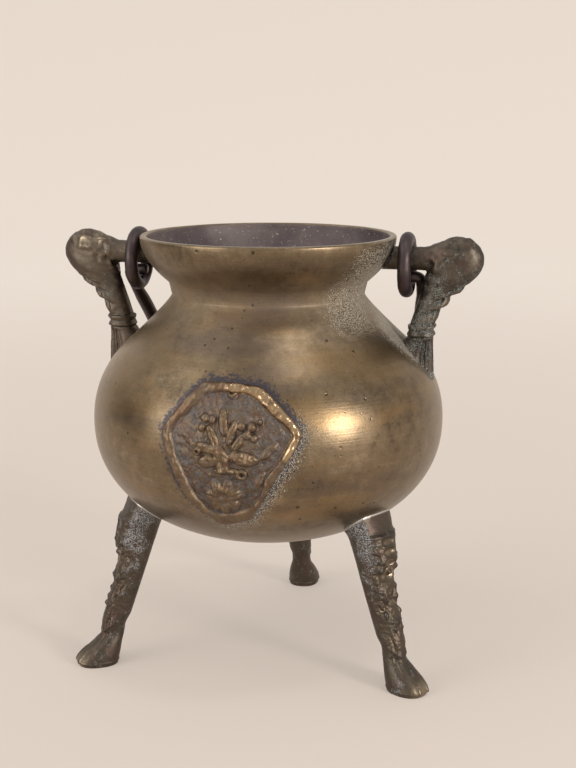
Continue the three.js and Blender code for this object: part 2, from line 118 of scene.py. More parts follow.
def scaled(tree, value, share):
    return calculate(tree, "MULTIPLY", value, share)


def plus(tree, base, value, share):
    return calculate(tree, "ADD", base, scaled(tree, value, share))


def less(tree, base, value, share):
    return calculate(tree, "SUBTRACT", base, scaled(tree, value, share))


def around(tree, value, middle):
    """A value as its distance above or below a middle."""
    return calculate(tree, "SUBTRACT", value, middle)


def blend_colours(tree, mask, under, over):
    made = add(tree, "ShaderNodeMix", {0: mask, 6: under, 7: over}, data_type="RGBA")
    return made.outputs[2]


def step_up(tree, value, low, high):
    """0 below low, 1 above high, and a soft step between them."""
    limits = {"Value": value, "From Min": low, "From Max": high}
    made = add(tree, "ShaderNodeMapRange", limits, interpolation_type="SMOOTHSTEP")
    return made.outputs[0]


def place_on_piece(tree):
    return add(tree, "ShaderNodeTexCoord").outputs["Object"]


def noise_at(tree, place, scale, detail=2, roughness=0.5):
    given = {"Vector": place, "Scale": scale, "Detail": detail, "Roughness": roughness}
    return add(tree, "ShaderNodeTexNoise", given).outputs[0]


def new_finish(name):
    """A material with its tree and its shader."""
    material = bpy.data.materials.new(name)
    material.use_nodes = True
    return material, material.node_tree, material.node_tree.nodes["Principled BSDF"]


sweep_radius = 1.7
sweep_bend = 0.9
bend_steps = 12
near_cream = (0.675, 0.59, 0.52, 1)
painted_light_cream = (0.82, 0.735, 0.66, 1)
dark_reflection_brown = (0.12, 0.10, 0.085, 1)
black = (0, 0, 0, 1)
glow_share = 0.52
glow_strength = 0.49
sweep_rings = [(0.05, 0), (0.4, 0), (1.0, 0), (sweep_radius, 0)]
for i in range(1, bend_steps + 1):
    turn = i / bend_steps * math.pi / 2
    curl = sweep_bend * math.sin(turn), sweep_bend * (1 - math.cos(turn))
    sweep_rings.append((sweep_radius + curl[0], curl[1]))
sweep = raise_rings("paper_sweep", 96, sweep_rings)
close_ends(sweep)
bpy.ops.object.mode_set(mode="EDIT")
bpy.ops.mesh.select_all(action="DESELECT")
bpy.ops.object.mode_set(mode="OBJECT")
for face in sweep.data.polygons:
    face.select = face.center.z > sweep_bend - 0.001
bpy.ops.object.mode_set(mode="EDIT")
bpy.ops.mesh.delete(type="FACE")
bpy.ops.object.mode_set(mode="OBJECT")
paper, tree, shader = new_finish("pale_paper")
place = place_on_piece(tree)
distance = add(tree, "ShaderNodeVectorMath", {0: place}, operation="LENGTH").outputs["Value"]
mottle = noise_at(tree, place, 3, 4)
# Painted light: the sheet's colour turns lighter towards the back, with a faint random mottle on top.
painted_light_and_mottle = plus(tree, step_up(tree, distance, 0.1, 1.4), mottle, 0.06)
cream = blend_colours(tree, painted_light_and_mottle, near_cream, painted_light_cream)
# Painted reflection: seen only in reflections, the far left of the sheet turns dark brown, which lays a
# dark band on the bronze.
heading = add(tree, "ShaderNodeVectorMath", {0: place}, operation="NORMALIZE").outputs[0]
to_left = {0: heading, 1: (-0.97, -0.22, 0.1)}
leftward = add(tree, "ShaderNodeVectorMath", to_left, operation="DOT_PRODUCT").outputs["Value"]
mirrored = add(tree, "ShaderNodeLightPath").outputs["Is Glossy Ray"]
dark_reflection = scaled(tree, step_up(tree, leftward, 0.80, 0.95), mirrored)
dark_reflection = scaled(tree, dark_reflection, step_up(tree, distance, 0.55, 1.3))
cream = blend_colours(tree, dark_reflection, cream, dark_reflection_brown)
# Painted light: about half of the sheet's brightness is moved from its base colour into a glow of its
# own.
tree.links.new(blend_colours(tree, glow_share, cream, black), shader.inputs["Base Color"])
tree.links.new(cream, shader.inputs["Emission Color"])
shader.inputs["Emission Strength"].default_value = glow_strength
shader.inputs["Roughness"].default_value = 0.9
sweep.data.materials.append(paper)

# Soft studio light: a lamp low on the right, which lays the gleam on the belly, a wide one on the
# left, and two overhead that gleam on the neck and shoulder. Sizes are in metres or, for the two
# overhead, an angle.
warm_white = (1.0, 0.97, 0.93)
room_light = 0.74
bpy.context.scene.view_settings.view_transform = "Standard"
world = bpy.data.worlds.new("studio")
world.use_nodes = True
world.node_tree.nodes["Background"].inputs["Color"].default_value = (*warm_white, 1)
world.node_tree.nodes["Background"].inputs["Strength"].default_value = room_light
bpy.context.scene.world = world
pot_middle = Vector((0, 0, 0.09))
lamps = {
    "lamp_right": ("AREA", (1.05, -0.62, 0.40), 0.32, 9.0),
    "lamp_left": ("AREA", (-1.0, -1.0, 0.45), 0.9, 9.0),
    "sky_left": ("SUN", (-0.75, -0.35, 1.0), math.radians(40), 0.42),
    "sky_right": ("SUN", (0.25, -0.12, 1.1), math.radians(9), 0.34),
}
for name, (kind, spot, size, power) in lamps.items():
    lamp_data = bpy.data.lights.new(name, kind)
    if kind == "AREA":
        lamp_data.shape = "DISK"
        lamp_data.size = size
    else:
        lamp_data.angle = size
    lamp_data.energy = power
    lamp_data.color = warm_white
    lamp = bpy.data.objects.new(name, lamp_data)
    lamp.location = spot
    lamp.rotation_euler = (pot_middle - Vector(spot)).to_track_quat("-Z", "Y").to_euler()
    bpy.context.scene.collection.objects.link(lamp)

# Vessel: one hollow bronze casting, turned smooth on a lathe outside, with a round belly, a tight
# neck and a flared mouth. The inside was left dark, and old pits and stains show all over it.
mm = 0.001
belly_mid_height = 98.5
belly_radius = 70.7
belly_drop = 48.6
belly_rise = 49.3
belly_fullness = 2.15
shoulder_turn = 0.68
base_flat_radius = 13
neck_radius = 38.6
neck_height = belly_mid_height + 50.5
flare_root_height = neck_height + 5
flare_root_radius = neck_radius + 1.2
flare_fullness = 1.9
rim_radius = 51
rim_height = flare_root_height + 18.3
wall = 2.8
lip_rounding = 0.8
lip_steps = 6
middle_radius = 1.5
vessel_sides = 288

vessel_low, vessel_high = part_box("vessel")
axis = np.array([(vessel_low.x + vessel_high.x) / 2, (vessel_low.y + vessel_high.y) / 2, 0])


def belly_point(turn):
    power = 2 / belly_fullness
    rise = -belly_drop if turn < 0 else belly_rise
    height = belly_mid_height + rise * abs(math.sin(turn)) ** power
    return belly_radius * math.cos(turn) ** power, height


def vessel_outline(belly_steps, neck_steps, flare_steps):
    """The outside from the edge of the flat base up to the rim, as radius and height."""
    base_turn = -math.acos((base_flat_radius / belly_radius) ** (belly_fullness / 2))
    points = [belly_point(base_turn + (shoulder_turn - base_turn) * i / belly_steps)
              for i in range(belly_steps + 1)]
    shoulder, before = points[-1], belly_point(shoulder_turn - 0.05)
    slope = (shoulder[1] - before[1]) / (shoulder[0] - before[0])
    bend_height = min(shoulder[1] + slope * (neck_radius - shoulder[0]), neck_height - 2)
    for i in range(1, neck_steps + 1):
        t = i / neck_steps
        a, b, c = (1 - t) ** 2, 2 * t * (1 - t), t * t
        points.append((a * shoulder[0] + (b + c) * neck_radius,
                       a * shoulder[1] + b * bend_height + c * neck_height))
    for i in range(flare_steps + 1):
        rise = i / flare_steps
        spread = 1 - (1 - rise) ** flare_fullness
        points.append((flare_root_radius + (rim_radius - flare_root_radius) * spread,
                       flare_root_height + (rim_height - lip_rounding - flare_root_height) * rise))
    return np.array(points)


def offset_outline(points, distance):
    along = np.gradient(points, axis=0)
    along /= np.linalg.norm(along, axis=1)[:, None]
    return points + distance * np.column_stack([along[:, 1], -along[:, 0]])


def lip_point(edge, inward, step):
    """A point of the lip's rounding, from its edge at step 0 to its top at the last step."""
    turn = step / lip_steps * math.pi / 2
    drawn_in = inward * lip_rounding * (1 - math.cos(turn))
    return edge - drawn_in, rim_height - lip_rounding * (1 - math.sin(turn))


outline = vessel_outline(belly_steps=96, neck_steps=18, flare_steps=22)
lining = offset_outline(vessel_outline(belly_steps=52, neck_steps=12, flare_steps=14), -wall)
lining = lining[lining[:, 0] > middle_radius][::-1]
lip = [lip_point(rim_radius, 1, i) for i in range(1, lip_steps + 1)]
lip += [lip_point(lining[0][0], -1, i) for i in range(lip_steps - 1, 0, -1)]
base_height = outline[0][1]
base_rings = [(middle_radius, base_height), (base_flat_radius / 2 + 0.5, base_height)]
floor_rings = [(middle_radius, base_height + wall)]
vessel_rings = [(r * mm, z * mm) for r, z in [*base_rings, *outline, *lip, *lining, *floor_rings]]
vessel = raise_rings("vessel_bronze", vessel_sides, vessel_rings)
close_ends(vessel)


def points_of(piece):
    places = np.zeros(len(piece.data.vertices) * 3)
    piece.data.vertices.foreach_get("co", places)
    return places.reshape(-1, 3)


def normals_of(piece):
    normals = np.zeros(len(piece.data.vertices) * 3)
    piece.data.vertex_normals.foreach_get("vector", normals)
    return normals.reshape(-1, 3)


def place_points(piece, places):
    piece.data.vertices.foreach_set("co", places.astype(np.float32).ravel())
    piece.data.update()


def unevenness(places, grain):
    """A soft random height between about -1 and 1, whose lumps are one grain across."""
    return np.array([noise.noise(Vector(p / grain)) for p in places])


def stain(piece, name, amounts):
    """Marks each point with an amount from 0 to 1, and keeps the greater where it is marked twice."""
    marks = piece.data.attributes.get(name) or piece.data.attributes.new(name, "FLOAT", "POINT")
    old = np.zeros(len(piece.data.vertices), np.float32)
    marks.data.foreach_get("value", old)
    marks.data.foreach_set("value", np.maximum(old, np.clip(amounts, 0, 1)).astype(np.float32))


def soft_step(values, low, high):
    share = np.clip((values - low) / (high - low), 0, 1)
    return share * share * (3 - 2 * share)


def hump(values, middle, width):
    """1 at a middle, falling off softly to either side."""
    return np.exp(-(((values - middle) / width) ** 2))


def band(values, low_foot, low_top, high_top, high_foot):
    """1 between two soft edges and 0 outside them."""
    return soft_step(values, low_foot, low_top) * (1 - soft_step(values, high_top, high_foot))


places = points_of(vessel)
reach = np.hypot(places[:, 0], places[:, 1]) / mm
height = places[:, 2] / mm
facing = np.degrees(np.arctan2(places[:, 1], places[:, 0]))
outside_reach = np.interp(height, outline[:, 1], outline[:, 0])
outer_skin = outside_reach - reach < 1
stain(vessel, "lining", soft_step(outside_reach - reach, 0.9, 2.0) * (height < rim_height - 0.5))
# Painted shade: a band round the neck is made duller and less metallic, so that it reads darker under
# the flare.
stain(vessel, "neck", hump(height, neck_height + 1, 8) * outer_skin)
smear_facing = -13
smear_half_width = 18
smear_amount = 0.66
smear = band(height, belly_mid_height + 36, neck_height - 4, rim_height - 4, rim_height)
streak = 5 * unevenness(places * [1, 1, 0.25], 0.004)
drift = (facing - smear_facing + 0.5 * (rim_height - height) + streak) / smear_half_width
stain(vessel, "solder", smear_amount * smear * np.exp(-(drift**4)) * outer_skin)
# Painted shade: the flare is marked to be coloured darker, except on its left front.
under_flare_shade = band(height, neck_height + 2, flare_root_height + 3, rim_height - 5, rim_height - 1)
stain(vessel, "flare", under_flare_shade * outer_skin * soft_step(facing, -118, -80))
wide_dents = 0.10 * unevenness(places, 0.028)
small_dents = 0.03 * unevenness(places, 0.007)
dents = normals_of(vessel) * (wide_dents + small_dents)[:, None] * mm
place_points(vessel, places + dents + axis)


def old_metal_group():
    """Old cast metal: bright on what is rubbed, dark in the hollows, with a crust in patches."""
    group = bpy.data.node_groups.new("old_metal", "ShaderNodeTree")
    sockets = group.interface.new_socket
    amounts = {"Relief": 0.5, "Crust Amount": 0.3, "Patch Scale": 60.0, "Grain Scale": 900.0}
    for name, value in amounts.items():
        sockets(name=name, in_out="INPUT", socket_type="NodeSocketFloat").default_value = value
    for name in ["Bright", "Middle", "Dark", "Crust", "Tint"]:
        sockets(name=name, in_out="INPUT", socket_type="NodeSocketColor")
    sockets(name="Color", in_out="OUTPUT", socket_type="NodeSocketColor")
    for name in ["Roughness", "Metallic", "Height"]:
        sockets(name=name, in_out="OUTPUT", socket_type="NodeSocketFloat")
    given = add(group, "NodeGroupInput").outputs
    place = place_on_piece(group)
    patches = noise_at(group, place, given["Patch Scale"], 6, 0.6)
    grain = noise_at(group, place, given["Grain Scale"], 3, 0.6)
    crust_patches = noise_at(group, place, scaled(group, given["Patch Scale"], 2.3))
    tone = scaled(group, given["Relief"], 0.75)
    tone = plus(group, tone, patches, 0.62)
    tone = plus(group, tone, grain, 0.22)
    colour = blend_colours(group, step_up(group, tone, 0.35, 0.85), given["Dark"], given["Middle"])
    polish = step_up(group, tone, 0.85, 1.3)
    colour = blend_colours(group, polish, colour, given["Bright"])
    tinted = noise_at(group, place, scaled(group, given["Patch Scale"], 1.4), 4)
    tinted = scaled(group, step_up(group, tinted, 0.50, 0.62), 0.65)
    colour = blend_colours(group, tinted, colour, given["Tint"])
    hollow = scaled(group, calculate(group, "SUBTRACT", 1.0, given["Relief"]), 0.32)
    crusted = calculate(group, "ADD", scaled(group, crust_patches, 0.55), hollow)
    crusted = plus(group, crusted, grain, 0.45)
    crusted = plus(group, crusted, given["Crust Amount"], 0.5)
    specks = noise_at(group, place, scaled(group, given["Grain Scale"], 1.7), 2)
    crust = scaled(group, step_up(group, crusted, 0.72, 0.98), step_up(group, specks, 0.44, 0.60))
    colour = blend_colours(group, crust, colour, given["Crust"])
    roughness = less(group, 0.45, polish, 0.26)
    roughness = plus(group, roughness, crust, 0.28)
    metallic = less(group, 0.92, crust, 0.72)
    height = plus(group, grain, crust, 0.35)
    given_out = {"Color": colour, "Roughness": roughness, "Metallic": metallic, "Height": height}
    add(group, "NodeGroupOutput", given_out)
    return group


old_metal = old_metal_group()


def mark_on(tree, name):
    return add(tree, "ShaderNodeAttribute", attribute_name=name).outputs["Fac"]


def stretched(tree, place, scale):
    return add(tree, "ShaderNodeMapping", {"Vector": place, "Scale": scale}).outputs[0]


bronze_dark = (0.098, 0.072, 0.046, 1)
bronze_middle = (0.190, 0.141, 0.088, 1)
bronze_bright = (0.305, 0.230, 0.150, 1)
bronze_edge_sheen = (0.42, 0.35, 0.265, 1)
golden_tarnish = (0.255, 0.160, 0.072, 1)
violet_tarnish = (0.115, 0.084, 0.072, 1)
flare_shade = (0.050, 0.034, 0.022, 1)
fleck_brown = (0.058, 0.042, 0.032, 1)
pit_brown = (0.035, 0.026, 0.02, 1)
burnt_blue = (0.050, 0.048, 0.062, 1)
solder_grey = (0.40, 0.375, 0.32, 1)
lining_dark = (0.070, 0.050, 0.053, 1)
lining_light = (0.130, 0.102, 0.098, 1)
lining_dust = (0.34, 0.30, 0.27, 1)

bronze, tree, shader = new_finish("turned_bronze")
place = place_on_piece(tree)
halo = mark_on(tree, "halo")
solder = mark_on(tree, "solder")
lining_mark = mark_on(tree, "lining")
neck_shade_mark = mark_on(tree, "neck")
flare_shade_mark = mark_on(tree, "flare")
clouds = noise_at(tree, place, 24, 7, 0.62)
bands = noise_at(tree, stretched(tree, place, (9, 9, 62)), 1, 5)
lathe_lines = noise_at(tree, stretched(tree, place, (26, 26, 1500)), 1, 3)
fine = noise_at(tree, place, 950, 3, 0.65)
mottled = noise_at(tree, place, 210, 5, 0.7)
speck_cells = add(tree, "ShaderNodeTexVoronoi", {"Vector": place, "Scale": 320})
speck_chance = add(tree, "ShaderNodeSeparateColor", {0: speck_cells.outputs["Color"]}).outputs[0]
speck_size = scaled(tree, around(tree, speck_chance, 0.72), 0.95)
pits = calculate(tree, "SUBTRACT", speck_size, speck_cells.outputs["Distance"])
pits = step_up(tree, pits, -0.02, 0.09)
tone = plus(tree, scaled(tree, clouds, 0.6), bands, 0.55)
tone = plus(tree, tone, lathe_lines, 0.12)
tone = plus(tree, tone, around(tree, fine, 0.3), 0.34)
tone = plus(tree, tone, around(tree, mottled, 0.5), 0.60)
colour = blend_colours(tree, step_up(tree, tone, 0.48, 0.72), bronze_dark, bronze_middle)
colour = blend_colours(tree, step_up(tree, tone, 0.70, 0.95), colour, bronze_bright)
streaks = {"Vector": stretched(tree, place, (13, 13, 44)), "Scale": 1, "Detail": 6, "Roughness": 0.62}
streaks = add(tree, "ShaderNodeTexNoise", streaks).outputs["Color"]
hues = add(tree, "ShaderNodeSeparateColor", {0: streaks}).outputs
golden = scaled(tree, step_up(tree, hues[0], 0.47, 0.64), 0.55)
colour = blend_colours(tree, golden, colour, golden_tarnish)
violet = scaled(tree, step_up(tree, hues[1], 0.50, 0.66), 0.50)
colour = blend_colours(tree, violet, colour, violet_tarnish)
# Painted shade darkens the flare.
colour = blend_colours(tree, scaled(tree, flare_shade_mark, 0.30), colour, flare_shade)
flecks = scaled(tree, step_up(tree, fine, 0.57, 0.66), 0.42)
colour = blend_colours(tree, flecks, colour, fleck_brown)
colour = blend_colours(tree, scaled(tree, pits, 0.75), colour, pit_brown)
burnt = plus(tree, halo, around(tree, fine, 0.5), 1.9)
burnt = step_up(tree, burnt, 0.34, 0.84)
colour = blend_colours(tree, scaled(tree, burnt, 0.9), colour, burnt_blue)
# Painted sheen: the colour turns lighter where the bronze is seen edge-on, standing in for a grazing
# reflection.
edge_sheen = add(tree, "ShaderNodeLayerWeight", {"Blend": 0.5}).outputs["Facing"]
edge_sheen = scaled(tree, calculate(tree, "POWER", edge_sheen, 3.0), 0.5)
colour = blend_colours(tree, edge_sheen, colour, bronze_edge_sheen)
dust = noise_at(tree, place, 2300)
grains = scaled(tree, around(tree, dust, 0.36), 3.2)
crumbs = calculate(tree, "ADD", scaled(tree, solder, 0.62), grains)
crumbs = plus(tree, crumbs, clouds, 0.35)
crumbs = scaled(tree, step_up(tree, crumbs, 0.92, 1.30), step_up(tree, solder, 0.02, 0.2))
colour = blend_colours(tree, scaled(tree, crumbs, 0.8), colour, solder_grey)
grime = blend_colours(tree, step_up(tree, clouds, 0.42, 0.62), lining_dark, lining_light)
grime = blend_colours(tree, step_up(tree, fine, 0.62, 0.72), grime, lining_dust)
colour = blend_colours(tree, lining_mark, colour, grime)
tree.links.new(colour, shader.inputs["Base Color"])
dull = plus(tree, scaled(tree, clouds, 0.22), crumbs, 0.3)
dull = plus(tree, dull, lining_mark, 0.22)
dull = plus(tree, dull, burnt, 0.14)
dull = plus(tree, dull, neck_shade_mark, 0.16)
tree.links.new(calculate(tree, "ADD", dull, 0.24), shader.inputs["Roughness"])
metal = less(tree, 0.95, crumbs, 0.6)
metal = less(tree, metal, lining_mark, 0.55)
metal = less(tree, metal, neck_shade_mark, 0.45)
tree.links.new(metal, shader.inputs["Metallic"])
height = plus(tree, scaled(tree, lathe_lines, 0.35), fine, 0.3)
height = less(tree, height, pits, 0.9)
height = plus(tree, height, crumbs, 1.2)
bump = add(tree, "ShaderNodeBump", {"Height": height, "Strength": 0.5, "Distance": 0.00022})
tree.links.new(bump.outputs[0], shader.inputs["Normal"])
vessel.data.materials.append(bronze)
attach(vessel, "pot")
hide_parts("vessel")

# Medallion: a six-sided cast plate with a raised border and a bunch of leaves and flowers, bent to
# the belly and soldered on. The heat left a dark halo and silvery crumbs of solder round it.
medallion_corners = [(13.5, 24.1), (27.8, 9.4), (18.8, -6.2), (9.3, -22.6), (-4.2, -25.8),
                     (-14.6, -15.8), (-20.3, -3), (-23.8, 9.3), (-10.5, 25)]
medallion_middle = np.array([2.0, 1.0])
medallion_sink = 1.0
plate_thickness = 1.3
border_height = 3.1
border_width = 0.15
corner_rounding = 0.22
petal_height = 2.1
rosette_middle = (-0.5, -14)
rosette_petals = 7
rosette_reach = 4.2


def medallion_edge(steps):
    """The plate's outline, a soft curve through its corners."""
    knots = np.array(medallion_corners)
    points = []
    for i in range(len(knots)):
        before, here, after, beyond = (knots[(i + k) % len(knots)] for k in (-1, 0, 1, 2))
        for t in np.arange(steps) / steps:
            a = 2 * t**3 - 3 * t**2 + 1
            b = t**3 - 2 * t**2 + t
            c = -2 * t**3 + 3 * t**2
            d = t**3 - t**2
            leaving, arriving = corner_rounding * (after - before), corner_rounding * (beyond - here)
            points.append(a * here + b * leaving + c * after + d * arriving)
    return np.array(points)


edge = medallion_edge(40) - medallion_middle
edge_turns = np.arctan2(edge[:, 1], edge[:, 0])
edge_order = np.argsort(edge_turns)
edge_turns = edge_turns[edge_order]
edge_reach = np.hypot(edge[:, 0], edge[:, 1])[edge_order]


def edge_reach_at(turn):
    return np.interp(turn, edge_turns, edge_reach, period=2 * math.pi)


def leaf(across, up, x, y, length, width, lean=0.0, vein=0.3):
    """1 on a leaf's ridge and 0 outside it, with a vein sunk down its middle."""
    c, s = math.cos(math.radians(lean)), math.sin(math.radians(lean))
    u = ((across - x) * c + (up - y) * s) / width
    v = (-(across - x) * s + (up - y) * c) / length
    return np.sqrt(np.clip(1 - u * u - v * v, 0, None)) * (1 - vein * hump(u, 0, 0.16))


def petal(across, up, x, y, length, width):
    """A plain leaf with no vein, also used for knobs and mounds."""
    return leaf(across, up, x, y, length, width, vein=0)


def curl(across, up, x, y, size):
    """A rolled leaf tip: a ring with a sunk middle."""
    away = np.hypot(across - x, up - y) / size
    return np.sqrt(np.clip(1 - ((away - 0.62) / 0.42) ** 2, 0, None))


# Leaves as place, half length, half width, lean in degrees and height. Knobs and rolled tips as
# place and radius. All lengths are in mm on the flat plate.
bunch_leaves = [
    (0.0, 13.0, 4.8, 2.0, 6, 1.0), (3.2, 9.6, 4.6, 1.7, -18, 0.9), (-3.4, 7.2, 5.2, 1.9, 24, 0.8),
    (5.4, 6.2, 4.2, 1.6, -34, 0.8), (-5.8, 3.9, 1.9, 4.6, -16, 1.0), (7.4, 0.8, 2.6, 5.8, -8, 1.2),
    (-5.2, -0.6, 2.5, 4.0, 10, 1.0), (-0.1, -0.2, 5.0, 2.6, 2, 1.0), (1.2, -3.7, 1.3, 5.2, 2, 0.9),
    (-12.6, 6.2, 1.5, 4.0, -40, 0.4), (16.4, 3.4, 1.5, 4.4, 42, 0.45), (12.8, -7.6, 4.0, 1.4, -30, 0.4)]
bunch_knobs = [
    (-7.1, 13.9, 1.7), (-4.3, 13.6, 1.6), (-7.9, 10.9, 1.5), (-5.0, 10.6, 1.4), (6.6, 11.8, 1.6),
    (10.3, 11.6, 1.9), (8.5, 9.0, 1.7), (11.2, 7.9, 1.5), (-1.4, 3.2, 2.4), (13.2, 13.2, 1.1)]
rolled_tips = [(2.2, 22.3, 1.9), (6.7, -4.9, 2.2), (-9.3, 2.6, 1.6)]


def carving(across, up):
    """The height of the bunch over the plate, its parts run together as in a soft old casting."""
    parts = [proud * leaf(across, up, x, y, length, width, lean)
             for x, y, length, width, lean, proud in bunch_leaves]
    parts += [0.85 * petal(across, up, x, y, size, size) for x, y, size in bunch_knobs]
    parts += [0.9 * curl(across, up, x, y, size) for x, y, size in rolled_tips]
    for i in range(rosette_petals):
        spoke = 2 * math.pi * i / rosette_petals + 0.3
        x = rosette_middle[0] + rosette_reach * math.cos(spoke)
        y = rosette_middle[1] + rosette_reach * math.sin(spoke)
        parts.append(0.75 * leaf(across, up, x, y, 2.9, 2.1, math.degrees(spoke) - 90))
    parts.append(0.6 * petal(across, up, *rosette_middle, 2.2, 2.2))
    run_together = sum(part**2 for part in parts) ** 0.5
    bunch_mound = 0.35 * petal(across, up, 0.4, 5.5, 13, 13.5)
    rosette_mound = 0.30 * petal(across, up, -0.4, -14, 7.4, 7.6)
    return run_together * 0.9 + (bunch_mound + rosette_mound)


def belly_radius_at(height):
    offset = height - belly_mid_height
    share = np.abs(offset) / np.where(offset < 0, belly_drop, belly_rise)
    return belly_radius * np.clip(1 - share**belly_fullness, 0, None) ** (1 / belly_fullness)


def on_belly(across, up, lift):
    """Lays a flat place of the plate on the belly and lifts it off along the belly's normal."""
    height = belly_mid_height + up
    lean = np.arctan(belly_radius_at(height + 0.5) - belly_radius_at(height - 0.5))
    turn = across / belly_radius - math.pi / 2
    reach = belly_radius_at(height) + lift * np.cos(lean)
    laid = [reach * np.cos(turn), reach * np.sin(turn), height - lift * np.sin(lean)]
    return np.column_stack(laid) * mm + axis


front_steps = 92
back_steps = 8
medallion_sides = 360
front_rings = [(0.012 + 0.988 * i / front_steps, 0) for i in range(front_steps + 1)]
side_rings = [(1, -0.25), (1, -0.6), (1, -1)]
back_rings = [(1 - 0.95 * i / back_steps, -1) for i in range(1, back_steps + 1)]
medallion = raise_rings("medallion_plate", medallion_sides, front_rings + side_rings + back_rings)
close_ends(medallion)
flat = points_of(medallion)
share = np.minimum(np.hypot(flat[:, 0], flat[:, 1]), 1)
turn = np.arctan2(flat[:, 1], flat[:, 0])
reach = share * edge_reach_at(turn)
across = medallion_middle[0] + reach * np.cos(turn)
up = medallion_middle[1] + reach * np.sin(turn)
flat_mm = np.column_stack([across, up, np.zeros(len(up))])
lumps = 0.26 * unevenness(flat_mm, 4.2) + 0.20 * unevenness(flat_mm, 1.9)
across_border = (1 - share) / (border_width * (1 + 0.35 * unevenness(flat_mm + 30, 6.5)))
upper_right = soft_step(across + up, 18, 30)
crown = np.clip(1 - np.abs((across_border - 0.48) / 0.56) ** 2.6, 0, 1) ** 0.6
border = crown * (border_height - plate_thickness) * (0.80 + 0.25 * upper_right + 1.1 * lumps)
pebbles = 0.45 * unevenness(flat_mm, 2.4) + 0.18 * unevenness(flat_mm, 0.9)
field = petal_height * carving(across, up) * (0.95 + 0.5 * lumps) + pebbles
relief = np.where(across_border < 1.1, np.maximum(border, 0), field)
depth = -flat[:, 2]
side_lift = plate_thickness * (1 - depth) - medallion_sink * depth
lift = np.where(depth > 0.001, side_lift, plate_thickness + relief)
place_points(medallion, on_belly(across, up, lift))
on_border = across_border < 1.05
full_relief = np.where(on_border, 4.4, 6.5)
# Painted highlight: the border's colour is raised on its upper right.
stain(medallion, "relief", 0.28 + relief / full_relief + 0.5 * upper_right * on_border)


def within_half_turn(turn):
    return (turn + math.pi) % (2 * math.pi) - math.pi


def medallion_places(piece):
    """Where the points of a piece lie on the flat plate, and how far outside its edge, in mm."""
    places = (points_of(piece) - axis) / mm
    turn = within_half_turn(np.arctan2(places[:, 1], places[:, 0]) + math.pi / 2)
    across = turn * belly_radius - medallion_middle[0]
    up = places[:, 2] - belly_mid_height - medallion_middle[1]
    beyond = np.hypot(across, up) - edge_reach_at(np.arctan2(up, across))
    return across, up, beyond


across, up, beyond = medallion_places(vessel)
on_outside = np.hypot(*((points_of(vessel) - axis)[:, :2].T)) > (belly_radius - 20) * mm
stain(vessel, "halo", np.exp(-((np.maximum(beyond, 0) / 4.1) ** 1.6)) * on_outside)
lower_right = soft_step(across - up, 4, 24) * hump(np.maximum(beyond - 1.0, 0), 0, 4.0)
stain(vessel, "solder", 0.75 * lower_right * on_outside)


def old_metal_finish(name, grain_depth, looks):
    """Old metal in a piece's own colours, brightest on its relief. The grain's depth is in metres."""
    finish, tree, shader = new_finish(name)
    looks = {"Relief": mark_on(tree, "relief"), **looks}
    metal = add(tree, "ShaderNodeGroup", looks, node_tree=old_metal)
    tree.links.new(metal.outputs["Color"], shader.inputs["Base Color"])
    tree.links.new(metal.outputs["Roughness"], shader.inputs["Roughness"])
    tree.links.new(metal.outputs["Metallic"], shader.inputs["Metallic"])
    grain = {"Height": metal.outputs["Height"], "Strength": 0.7, "Distance": grain_depth}
    tree.links.new(add(tree, "ShaderNodeBump", grain).outputs[0], shader.inputs["Normal"])
    return finish, tree, shader, metal


plaque = old_metal_finish("medallion_bronze", 0.00012, {
    "Bright": (0.40, 0.28, 0.165, 1),
    "Middle": (0.160, 0.112, 0.070, 1),
    "Dark": (0.060, 0.054, 0.055, 1),
    "Crust": (0.105, 0.112, 0.130, 1),
    "Tint": (0.125, 0.070, 0.045, 1),
    "Crust Amount": 0.22,
    "Patch Scale": 190,
    "Grain Scale": 1500,
})[0]
medallion.data.materials.append(plaque)
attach(medallion, "pot")
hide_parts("medallion")

# Legs: three cast legs from one pattern, each with a plain cap block soldered under the belly,
# scalloped leaves and beads down its outer side, and a small shod foot that points outwards.
leg_azimuths = {"leg_left": 210, "leg_right": 330, "leg_back": 90}
leg_top_height = belly_mid_height - 32.5
leg_top_reach = belly_radius - 11.7
leg_depth = 17.4
leg_half_width = 11
leg_levels = 272
leg_sides = 120
cap_height = 5.2
cap_edge = 1
cap_spread = 2.0
cap_lean = 0.38
knee_reach = belly_radius - 7.9
knee_swell = 1.6
leaf_inset = 4
leaf_thinning = 1.6
calf_inset = 5.2
calf_swell = 0.9
calf_steps = 20
ankle_height = 12.5
ankle_reach = 70.9
ankle_depth = 8.8
ankle_half_width = 4.1
ankle_rise = 4
ankle_swell = 0.6
heel_reach = 64.6
heel_tuck = 0.8
heel_hollow = 1.4
toe_reach = 82
toe_height = 5.4
toe_half_width = 7
toe_slope = 3.2
toe_taper = 0.5
sole_inset = 0.4
sole_toe_inset = 1
foot_squareness = 2.3
leg_squareness = 2.5
cap_squareness = 3.0


def smoothed(columns, reach):
    """Softens the corners of a run of stations, keeping its two ends."""
    kernel = np.exp(-0.5 * (np.arange(-3 * reach, 3 * reach + 1) / reach) ** 2)
    kernel /= kernel.sum()
    soft = []
    for column in columns:
        padded = np.pad(column, 3 * reach, mode="reflect", reflect_type="odd")
        soft.append(np.convolve(padded, kernel, mode="valid"))
    return soft


def spoke_section(inner, outer, half, square, turn):
    """A flattened round section between an inner and an outer point of a leg's or handle's plane."""
    power = 2 / square
    along = np.sign(np.cos(turn)) * np.abs(np.cos(turn)) ** power
    across = np.sign(np.sin(turn)) * np.abs(np.sin(turn)) ** power
    middle, spoke = (inner + outer) / 2, (outer - inner) / 2
    return np.stack([middle[..., 0] + spoke[..., 0] * along, half * across,
                     middle[..., 1] + spoke[..., 1] * along], axis=-1)


